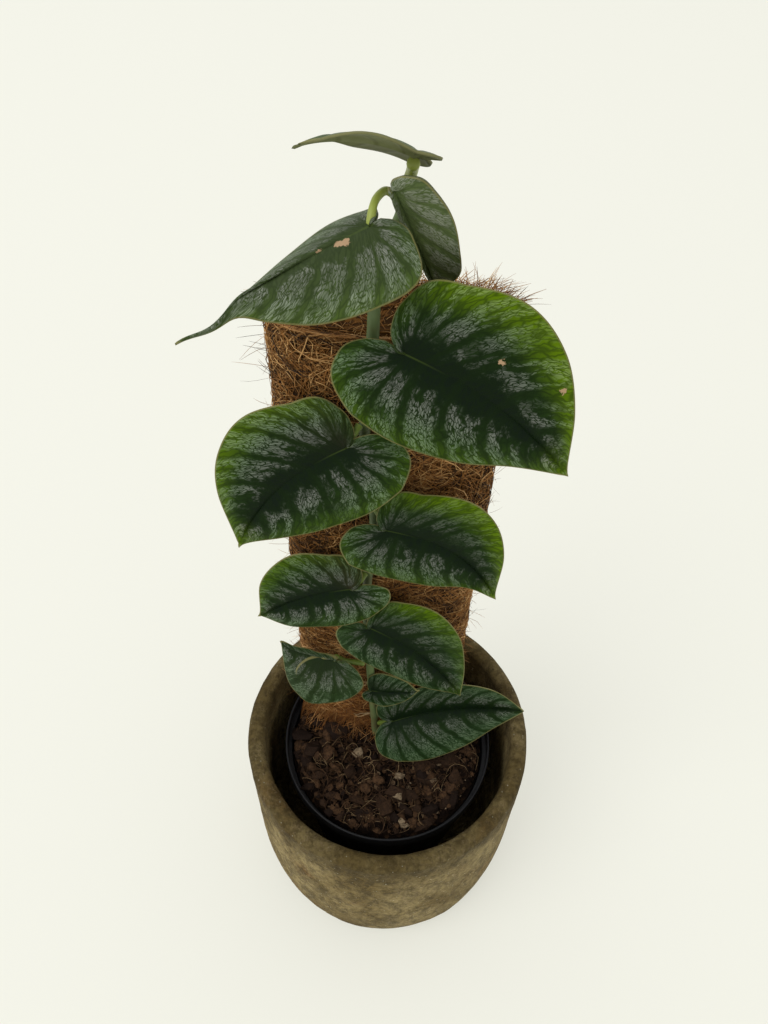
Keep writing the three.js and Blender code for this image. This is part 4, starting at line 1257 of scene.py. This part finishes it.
class PLANT_OT_stem(bpy.types.Operator):
    """Grows the stem with its nodes and aerial roots"""

    bl_idname = "plant.stem"
    bl_label = "Stem"

    def execute(self, context):
        look = context.scene.plant_stem
        rng = np.random.default_rng(21)
        points = 300
        path = smooth_path(STEM_PATH, points)
        radii = np.full(points, look.radius * 0.94)
        for height in ROOT_HEIGHTS:
            gap = np.abs(path[:, 2] - height)
            radii += 0.35 * MM * np.exp(-((gap / (1.6 * MM)) ** 2))
        radii *= 1 - 0.12 * ease(path[:, 2], 0.40, 0.45)
        stem = strands("vine_stem", [path], [radii], 14, vine_skin(look), rng)
        dress(stem, "stem", "stem")
        dress(self.roots(look, path, rng), "stem")
        return {"FINISHED"}

    def roots(self, look, path, rng, points=7):
        """Short roots that reach sideways from each node into the coir."""
        paths, radii = [], []
        for height in ROOT_HEIGHTS:
            start = path[np.argmin(np.abs(path[:, 2] - height))]
            for side in (-1, 1, -1, 1):
                reach, drop = rng.uniform(5, 15) * MM, rng.uniform(-2, 9) * MM
                sway = rng.normal(0, 1.2, points) * MM
                way = np.linspace(0, 1, points)
                root = np.stack(
                    [
                        start[0] + side * reach * way,
                        start[1] + 1.2 * MM * way + 0.4 * MM * np.sin(6 * way),
                        start[2] - drop * way**1.3 + sway * way,
                    ],
                    axis=1,
                )
                paths.append(root)
                radii.append(rng.uniform(0.35, 0.6) * MM * (1 - 0.6 * way))
        return strands("aerial_roots", paths, radii, 5, aerial_root(look), rng)


# Leaves


def half_outline(leaf, side, length, count):
    """Half of a leaf's outline, as (along, across) from the notch to the tip."""
    body = length - leaf["tail"]
    half = leaf["halves"][side]
    points = []
    for along, across in HALF_HEART:
        x = along * (leaf["lobes"][side] if along < 0 else body)
        if along < 0 and across > CORNER_FROM:
            across += leaf["corner"][side]
        if along > SHOULDER:
            across **= leaf["full"][side]
        points.append((x, across * half))
    points += [(body, 0.06 * half + 0.4 * MM), (length, 0)]
    return smooth_path(points, count, pull=0)


class Blade:
    """A leaf's shape, which takes flat places on it into the plant's space: bent along its
    midrib, folded at it and arched from it to the margin."""

    def __init__(self, leaf):
        self.leaf = leaf
        self.base = Vector(leaf["base"])
        chord = Vector(leaf["tip"]) - self.base
        self.curl = leaf["curl"]
        self.length = chord.length * self.curl / 2 / math.sin(self.curl / 2)
        self.along = chord.normalized()
        face = Vector(leaf["faces"])
        self.face = (face - self.along * face.dot(self.along)).normalized()
        self.left = self.face.cross(self.along)

    def place(self, x, y, share, side, relief):
        """Where a flat place goes: x along the midrib, y across it, a share of the way to the
        margin on a side, and raised by a relief."""
        leaf, curl, length = self.leaf, self.curl, self.length
        turn = curl * (max(0, x) / length - 0.5)
        radius = length / curl
        behind = min(0, x)
        ahead = radius * (math.sin(turn) + math.sin(curl / 2)) + behind * math.cos(curl / 2)
        drop = radius * (math.cos(turn) - math.cos(curl / 2)) + behind * math.sin(curl / 2)
        fold = leaf["fold"][side]
        arch = leaf["arch"] * math.sin(math.pi * share) * min(1, 4 * (1 - x / length))
        out = arch - abs(y) * math.sin(fold) + relief
        bow_share = min(1, max(0, x / length))
        bow = 4 * leaf["bow"] * bow_share * (1 - bow_share)
        tail_share = max(0, bow_share - TAIL_FROM) / (1 - TAIL_FROM)
        bow += leaf["sag"] * math.sin(math.pi * tail_share) ** 2
        at = self.base + self.along * (ahead + out * math.sin(turn))
        at += self.left * (y * math.cos(fold) + bow)
        return at + self.face * (drop + out * math.cos(turn))


BLADE_ROWS, BLADE_COLUMNS = 88, 28
RIPPLE = 0.35 * MM  # how high the margin waves
GROOVE = {"width": 0.9 * MM, "depth": 0.3 * MM}  # along the midrib
FLAP = 1.3 * MM  # how far a curled lobe stands up
TAIL_FROM = 0.6  # the share of the length where a sagging tail starts
VEIN_WIDTH = 0.17  # as a share of the gap between two side veins
VEIN_SWEEP = 0.035  # how far the side veins bend towards the tip, as a share of the outline


def leaf_skin(look):
    """A shingle plant's upper face: satin, near black at the midrib and green outwards, with
    silver air-filled streaks in groups between the side veins and yellow-green young margins."""
    material, shader = new_material("Leaf blade, upper face", Specular_IOR_Level=0.04)
    place = add(material, "TexCoord", output="Object")
    vein = add(material, "UVMap", uv_map="vein")
    run, order, _ = add(material, "SeparateXYZ", vein).node.outputs
    rib = add(material, "UVMap", uv_map="rib")
    ahead, across, _ = add(material, "SeparateXYZ", rib).node.outputs
    tone = add(material, "Attribute", attribute_name="tone")
    young, silver, bronze = add(material, "SeparateColor", tone.node.outputs["Color"]).node.outputs
    bands = tone.node.outputs["Alpha"]
    more = add(material, "Attribute", attribute_name="more", output="Vector")
    share, pale, scar = add(material, "SeparateXYZ", more).node.outputs
    ragged = add(material, "TexNoise", place, 1 / (1.5 * MM), 3, 0.7)
    ragged = add(material, "Math", ragged, 0.5, operation="SUBTRACT")
    cloudy = add(material, "TexNoise", place, 1 / (8 * MM), 3, 0.6)
    cloudy = add(material, "Math", cloudy, 0.5, operation="SUBTRACT")

    # The side veins wander a little, and the share of the way to the margin is frayed.
    phase = add(material, "Math", cloudy, 0.4, order, **TIMES_PLUS)
    near_vein = add(material, "Math", phase, 0.5, operation="PINGPONG")
    near_vein = add(material, "Math", ragged, 0.16, near_vein, **TIMES_PLUS)
    frayed = add(material, "Math", cloudy, 0.6, share, **TIMES_PLUS)
    frayed = add(material, "Math", ragged, 0.3, frayed, **TIMES_PLUS)

    # Streaks along the side veins: cells 12 mm long, about three between two veins
    along = add(material, "Math", run, 1 / (12 * MM), **TIMES)
    wide = add(material, "Math", phase, 3.2, **TIMES)
    flat = add(material, "CombineXYZ", along, wide)
    cells = add(material, "TexVoronoi", Vector=flat, feature="DISTANCE_TO_EDGE")
    cells = add(material, "Math", ragged, 0.18, cells, **TIMES_PLUS)
    fine = add(material, "TexVoronoi", Vector=flat, Scale=2.4, feature="DISTANCE_TO_EDGE")

    # Silver fills the cells between a fine net, in torn groups 15 mm wide, and leaves the side
    # veins, the midrib and the margin green. In whole bands it isn't torn or grouped.
    shine = add(material, "MapRange", cells, 0.03, 0.13, **SMOOTH)
    meshes = add(material, "MapRange", fine, 0.0, 0.1, 0.35, 1.0, **SMOOTH)
    torn = add(material, "TexNoise", flat, 1 / 1.2, 2, 0.6)
    torn = add(material, "MapRange", torn, 0.39, 0.47, **SMOOTH)
    torn = add(material, "Math", torn, bands, operation="MAXIMUM")
    groups = add(material, "TexNoise", place, 1 / (15 * MM), 2, 0.5)
    groups = add(material, "MapRange", groups, 0.34, 0.48, 0.2, 1.0, **SMOOTH)
    groups = add(material, "Math", groups, bands, operation="MAXIMUM")
    off_vein = add(material, "MapRange", near_vein, 0.07, 0.22, **SMOOTH)
    off_midrib = add(material, "MapRange", frayed, 0.2, 0.38, **SMOOTH)
    off_margin = add(material, "MapRange", frayed, 1.14, 0.94, **SMOOTH)
    for limit in (meshes, torn, groups, off_vein, off_midrib, off_margin, silver):
        shine = add(material, "Math", shine, limit, **TIMES)

    # The ground runs from teal black at the midrib through deep green to mid green outwards.
    # The lowest leaves on the mat are the oldest: they have little young green left, and their outer
    # green is darker and bluer, partly with age and partly as painted shade.
    level = add(material, "SeparateXYZ", place, output="Z")
    old = add(material, "MapRange", level, 268 * MM, 232 * MM, **SMOOTH)
    outer = add(material, "Mix", old, rgba(look.outer), rgba(hue("20351a")), **COLOURS)
    fresh = add(material, "MapRange", old, 0.0, 1.0, 1.0, 0.4)
    young = add(material, "Math", young, fresh, **TIMES)
    to_deep = add(material, "MapRange", frayed, 0.1, 0.42, **SMOOTH)
    green = add(material, "Mix", to_deep, rgba(look.teal), rgba(look.deep), **COLOURS)
    to_outer = add(material, "MapRange", frayed, 0.4, 0.95, **SMOOTH)
    green = add(material, "Mix", to_outer, green, outer, **COLOURS)
    # Painted shade darkens the side veins, where they are sunk.
    groove_shade = add(material, "MapRange", near_vein, 0.16, 0.0, 0.0, 0.5, **SMOOTH)
    tints = [(groove_shade, rgba(look.deep, 0.7)), (young, rgba(look.young))]
    # The pale tint, which also pales the net and the silver, is partly the leaf's own grey-green and
    # partly painted sheen and light on the top leaves.
    tints += [(bronze, rgba(hue("332b1c"))), (pale, rgba(hue("54633a")))]
    for amount, tint in tints:
        green = add(material, "Mix", amount, green, tint, **COLOURS)
    net = add(material, "Mix", pale, rgba(look.deep, 0.6), rgba(hue("3b472b")), **COLOURS)
    between = add(material, "MapRange", fine, 0.0, 0.22, 0.45, 1.0, **SMOOTH)
    green = add(material, "Mix", between, net, green, **COLOURS)

    # Silver is grey where it starts and greener towards the margin.
    outwards = add(material, "MapRange", share, 0.3, 0.9, **SMOOTH)
    metal = add(material, "Mix", outwards, rgba(look.silver), rgba(look.sage), **COLOURS)
    youngest = add(material, "Math", young, 0.8, **TIMES)
    metal = add(material, "Mix", youngest, metal, rgba(hue("7d9247")), **COLOURS)
    metal = add(material, "Mix", pale, metal, rgba(hue("8f9484")), **COLOURS)
    shade = add(material, "Mix", shine, green, metal, **COLOURS)

    # The midrib is a thin pale ridge that fades soon after the stalk.
    ridge = add(material, "Math", across, operation="ABSOLUTE")
    ridge = add(material, "MapRange", ridge, 0.6 * MM, 0.15 * MM, **SMOOTH)
    fading = add(material, "MapRange", ahead, 0.22, 0.0, 0.0, 0.26, **SMOOTH)
    ridge = add(material, "Math", ridge, fading, **TIMES)
    hem = add(material, "Attribute", attribute_name="hem", output="Fac")
    hem = add(material, "MapRange", hem, 0.7 * MM, 0.3 * MM, 0.0, 0.7, **SMOOTH)
    # The curled lobe's edge: a pale line along the step between it and the rest of the blade
    crest = add(material, "Attribute", attribute_name="flap", output="Fac")
    crest = add(material, "Math", crest, operation="ABSOLUTE")
    crest = add(material, "MapRange", crest, 0.55 * MM, 0.25 * MM, 0.0, 0.6, **SMOOTH)
    on_lobe = add(material, "MapRange", across, 17 * MM, 11 * MM, **SMOOTH)
    crest = add(material, "Math", crest, on_lobe, **TIMES)
    off_stalk = add(material, "MapRange", ahead, 0.08, 0.2, **SMOOTH)
    crest = add(material, "Math", crest, off_stalk, **TIMES)
    dry = add(material, "Math", ragged, 1.2, scar, **TIMES_PLUS)
    dry = add(material, "MapRange", dry, 0.4, 0.55, **SMOOTH)
    for amount, mark in ((ridge, "56682c"), (hem, "7f7a4c"), (crest, "7f7a4c"), (dry, "a5896a")):
        shade = add(material, "Mix", amount, shade, rgba(hue(mark)), **COLOURS)

    bump = add(material, "Bump", Height=shine, Distance=0.08 * MM)
    bump = add(material, "Bump", Height=ragged, Distance=0.2 * MM, Normal=bump)
    gloss = add(material, "MapRange", shine, 0, 1, 0.42, 0.5, **SMOOTH)
    join(material, shader, Base_Color=shade, Roughness=gloss, Normal=bump)
    return material


def leaf_back():
    """The under face: olive and matt, with the side veins showing as darker lines."""
    material, shader = new_material("Leaf blade, under face", Roughness=0.6, Specular_IOR_Level=0.2)
    place = add(material, "TexCoord", output="Object")
    vein = add(material, "UVMap", uv_map="vein")
    order = add(material, "SeparateXYZ", vein, output="Y")
    near_vein = add(material, "Math", order, 0.5, operation="PINGPONG")
    darker = add(material, "MapRange", near_vein, 0.12, 0.02, 0.0, 0.5, **SMOOTH)
    mottle = add(material, "TexNoise", place, 1 / (5 * MM), 4, 0.6)
    shade = add(material, "Mix", mottle, rgba(hue("565c36")), rgba(hue("767a55")), **COLOURS)
    shade = add(material, "Mix", darker, shade, rgba(hue("474b28")), **COLOURS)
    bump = add(material, "Bump", Height=mottle, Distance=0.1 * MM)
    join(material, shader, Base_Color=shade, Normal=bump)
    return material


def leaf_margin():
    """The cut-thin margin, dry and pale, which draws a fine line round each blade."""
    material, shader = new_material("Leaf margin, dry", Roughness=0.6, Specular_IOR_Level=0.2)
    place = add(material, "TexCoord", output="Object")
    shade = add(material, "TexNoise", place, 1 / (3 * MM), 3)
    tone = add(material, "Mix", shade, rgba(hue("6f7040")), rgba(hue("9c9662")), **COLOURS)
    more = add(material, "Attribute", attribute_name="more", output="Vector")
    pale = add(material, "SeparateXYZ", more, output="Y")
    tone = add(material, "Mix", pale, tone, rgba(hue("565a3c")), **COLOURS)
    join(material, shader, Base_Color=tone)
    return material


def petiole_skin():
    """A leaf stalk: fresh yellow-green, smooth, faintly streaked along its length."""
    material, shader = new_material("Leaf stalk, living", Roughness=0.42, Specular_IOR_Level=0.3)
    place = add(material, "TexCoord", output="Object")
    streak = add(material, "TexNoise", place, 1 / (2.5 * MM), 3)
    shade = add(material, "Mix", streak, rgba(hue("4c6020")), rgba(hue("74873a")), **COLOURS)
    level = add(material, "SeparateXYZ", place, output="Z")
    fresh = add(material, "MapRange", level, 425 * MM, 450 * MM, **SMOOTH)
    shade = add(material, "Mix", fresh, shade, rgba(hue("8f9a46")), **COLOURS)
    join(material, shader, Base_Color=shade)
    return material


class PLANT_OT_leaves(bpy.types.Operator):
    """Grows the eleven leaves with their sunken veins, margins and stalks"""

    bl_idname = "plant.leaves"
    bl_label = "Leaves"

    def execute(self, context):
        look = context.scene.plant_leaf
        rng = np.random.default_rng(11)
        skins = [leaf_skin(look), leaf_back(), leaf_margin(), petiole_skin()]
        for name, leaf in LEAVES.items():
            piece = self.grow(name, leaf, look, skins, rng)
            dress(piece, "leaf", name)
        return {"FINISHED"}

    def grow(self, name, leaf, look, skins, rng):
        """One blade, from two grids that meet at the midrib, with its thickness and its stalk."""
        blade = Blade(leaf)
        bm = bmesh.new()
        vein_map = bm.loops.layers.uv.new("vein")
        rib_map = bm.loops.layers.uv.new("rib")
        tone = bm.verts.layers.float_color.new("tone")
        more = bm.verts.layers.float_vector.new("more")
        hem = bm.verts.layers.float.new("hem")
        flap = bm.verts.layers.float.new("flap")
        layers = (vein_map, rib_map, tone, more, hem, flap)
        for side in (0, 1):
            made = bmesh.ops.create_grid(
                bm, x_segments=BLADE_COLUMNS, y_segments=BLADE_ROWS, size=0.5
            )
            outline = half_outline(leaf, side, blade.length, BLADE_ROWS + 1)
            outline[0] = half_outline(leaf, 0, blade.length, 2)[0]  # both halves share the notch
            self.shape_half(blade, side, made["verts"], outline, look, layers)
        bmesh.ops.remove_doubles(bm, verts=bm.verts, dist=0.003 * MM)
        bmesh.ops.recalc_face_normals(bm, faces=bm.faces)
        facing = sum(f.normal.dot(blade.face) * f.calc_area() for f in bm.faces)
        if facing < 0:
            bmesh.ops.reverse_faces(bm, faces=bm.faces)
        piece = object_from(bm, name + "_blade", skins)
        wall = piece.modifiers.new("thickness", "SOLIDIFY")
        wall.thickness = look.thickness
        wall.offset = 0
        wall.material_offset = 1
        wall.material_offset_rim = 2
        baked(piece)
        self.add_stalk(piece, leaf, skins, rng)
        return piece

    def shape_half(self, blade, side, verts, outline, look, layers):
        """Lays one half's grid inside its outline, its columns along the side veins, sinks the
        veins and keeps what the materials read."""
        vein_map, rib_map, tone, more, hem, flap = layers
        leaf, length = blade.leaf, blade.length
        sign = 1 if side == 0 else -1
        veins = leaf["veins"]
        for vert in verts:
            row = round((vert.co.y + 0.5) * BLADE_ROWS)
            share = (vert.co.x + 0.5) ** 1.2
            s = row / BLADE_ROWS
            edge = outline[row]
            beyond = max(0, (s - LOBE_SHARE) / (1 - LOBE_SHARE))
            start = length * beyond**VEIN_SPREAD
            if row == BLADE_ROWS:
                share, x, y = 0, length, 0
            else:
                x = start + (edge[0] - start) * share
                y = edge[1] * share
            phase = veins * (s + VEIN_SWEEP * math.sin(math.pi * share))
            from_vein = abs(phase - round(phase))
            sunken = math.exp(-((from_vein / VEIN_WIDTH) ** 2)) - 0.35
            fade = float(ease(share, 0.03, 0.3)) * float(ease(share, 1.02, 0.8))
            ripple = math.sin(phase * 2.3 + side * 2) * share**3
            relief = -look.quilting * sunken * fade + RIPPLE * ripple
            groove = math.exp(-((y / GROOVE["width"]) ** 2)) * float(ease(x / length, 0.9, 0.5))
            relief -= GROOVE["depth"] * groove
            from_flap, raised = self.flap(leaf, x, sign * y)
            relief += FLAP * raised
            if row in (0, BLADE_ROWS):
                relief = 0
            reach = math.hypot(edge[0] - start, edge[1])
            run = reach * share
            vert[hem] = reach - run
            for loop in vert.link_loops:
                loop[vein_map].uv = (sign * run, phase)
                loop[rib_map].uv = (max(0, x) / length, sign * y)
            young = leaf["young"][side]
            margin = young * float(ease(share, 0.74 - 0.2 * young, 1.02)) * float(ease(s, 0.05, 0.35))
            tip = leaf["young"][2] * float(ease(x / length, 0.72, 1.05))
            vert[tone] = (
                min(1, max(margin, tip)),
                leaf["silver"][side],
                leaf["bronze"][side] * float(ease(s, 0.6, 0.2)),
                leaf["bands"],
            )
            vert[more] = (share, leaf["pale"], self.scar(leaf, x, sign * y))
            vert[flap] = from_flap
            vert.co = blade.place(x, sign * y, 0 if row == 0 else share, side, relief)

    def flap(self, leaf, x, y):
        """How far a place is from the edge of the curled lobe, and how much it is raised there."""
        if leaf["flap"] is None:
            return 1, 0
        ahead, across, radius = leaf["flap"]
        apart = math.hypot(x - ahead, y - across) - radius
        raised = 1 - float(ease(apart, -0.6 * MM, 0.6 * MM))
        raised *= float(ease(x, 0, 6 * MM)) * float(ease(y, 18 * MM, 9 * MM))
        return apart, raised

    def scar(self, leaf, x, y):
        """How dry the blade is at a place, from its scars' middles outwards."""
        dry = [1 - math.hypot(x - a, y - b) / size for a, b, size in leaf["scars"]]
        return max([0, *dry])

    def add_stalk(self, piece, leaf, skins, rng, points=30):
        """Joins the leaf's petiole to it, swollen where it meets the blade."""
        blade = Blade(leaf)
        last = Vector(leaf["petiole"][-1]) - blade.base
        behind = max(0, -last.normalized().dot(blade.face))
        end = blade.base - blade.face * leaf["petiole_radius"] * min(1, 3 * behind)
        path = smooth_path([*leaf["petiole"], end], points)
        way = np.linspace(0, 1, points)
        radii = leaf["petiole_radius"] * (1 - 0.12 * way + 0.15 * np.exp(-((way - 0.9) / 0.1) ** 2))
        radii[-1] *= 0.6
        stalk = strands(piece.name + "_stalk", [path], [radii], 12, skins[3], rng)
        bm = bmesh.new()
        bm.from_mesh(piece.data)
        count = len(bm.faces)
        bm.from_mesh(stalk.data)
        bm.faces.ensure_lookup_table()
        for face in bm.faces[count:]:
            face.material_index = 3
        bm.to_mesh(piece.data)
        bm.free()
        old = stalk.data
        bpy.data.objects.remove(stalk)
        bpy.data.meshes.remove(old)


# Panel and registration

OPERATORS = (
    PLANT_OT_stage,
    PLANT_OT_planter,
    PLANT_OT_nursery_pot,
    PLANT_OT_soil,
    PLANT_OT_core_board,
    PLANT_OT_coir_mat,
    PLANT_OT_coir_fibres,
    PLANT_OT_stem,
    PLANT_OT_leaves,
)
SETTINGS = {
    "plant_stage": StageSettings,
    "plant_planter": PlanterSettings,
    "plant_pot": PotSettings,
    "plant_soil": SoilSettings,
    "plant_coir": CoirSettings,
    "plant_board": BoardSettings,
    "plant_stem": StemSettings,
    "plant_leaf": LeafSettings,
}


class PLANT_PT_panel(bpy.types.Panel):
    """Lists the plant's settings and the steps that build it"""

    bl_label = "Shingle Plant"
    bl_idname = "PLANT_PT_panel"
    bl_space_type = "VIEW_3D"
    bl_region_type = "UI"
    bl_category = "Shingle Plant"

    def draw(self, context):
        for name, settings in SETTINGS.items():
            box = self.layout.box()
            box.label(text=name.replace("plant_", "").capitalize())
            for key in settings.__annotations__:
                box.prop(getattr(context.scene, name), key)
        for operator in OPERATORS:
            self.layout.operator(operator.bl_idname)


def register():
    for cls in (*SETTINGS.values(), *OPERATORS, PLANT_PT_panel):
        bpy.utils.register_class(cls)
    for name, settings in SETTINGS.items():
        setattr(bpy.types.Scene, name, PointerProperty(type=settings))


def unregister():
    for name in SETTINGS:
        delattr(bpy.types.Scene, name)
    for cls in reversed((*SETTINGS.values(), *OPERATORS, PLANT_PT_panel)):
        bpy.utils.unregister_class(cls)


def main():
    register()
    bpy.ops.plant.stage()
    bpy.ops.plant.planter()
    bpy.ops.plant.nursery_pot()
    bpy.ops.plant.soil()
    bpy.ops.plant.core_board()
    bpy.ops.plant.coir_mat()
    bpy.ops.plant.coir_fibres()
    bpy.ops.plant.stem()
    bpy.ops.plant.leaves()


if __name__ == "__main__":
    main()
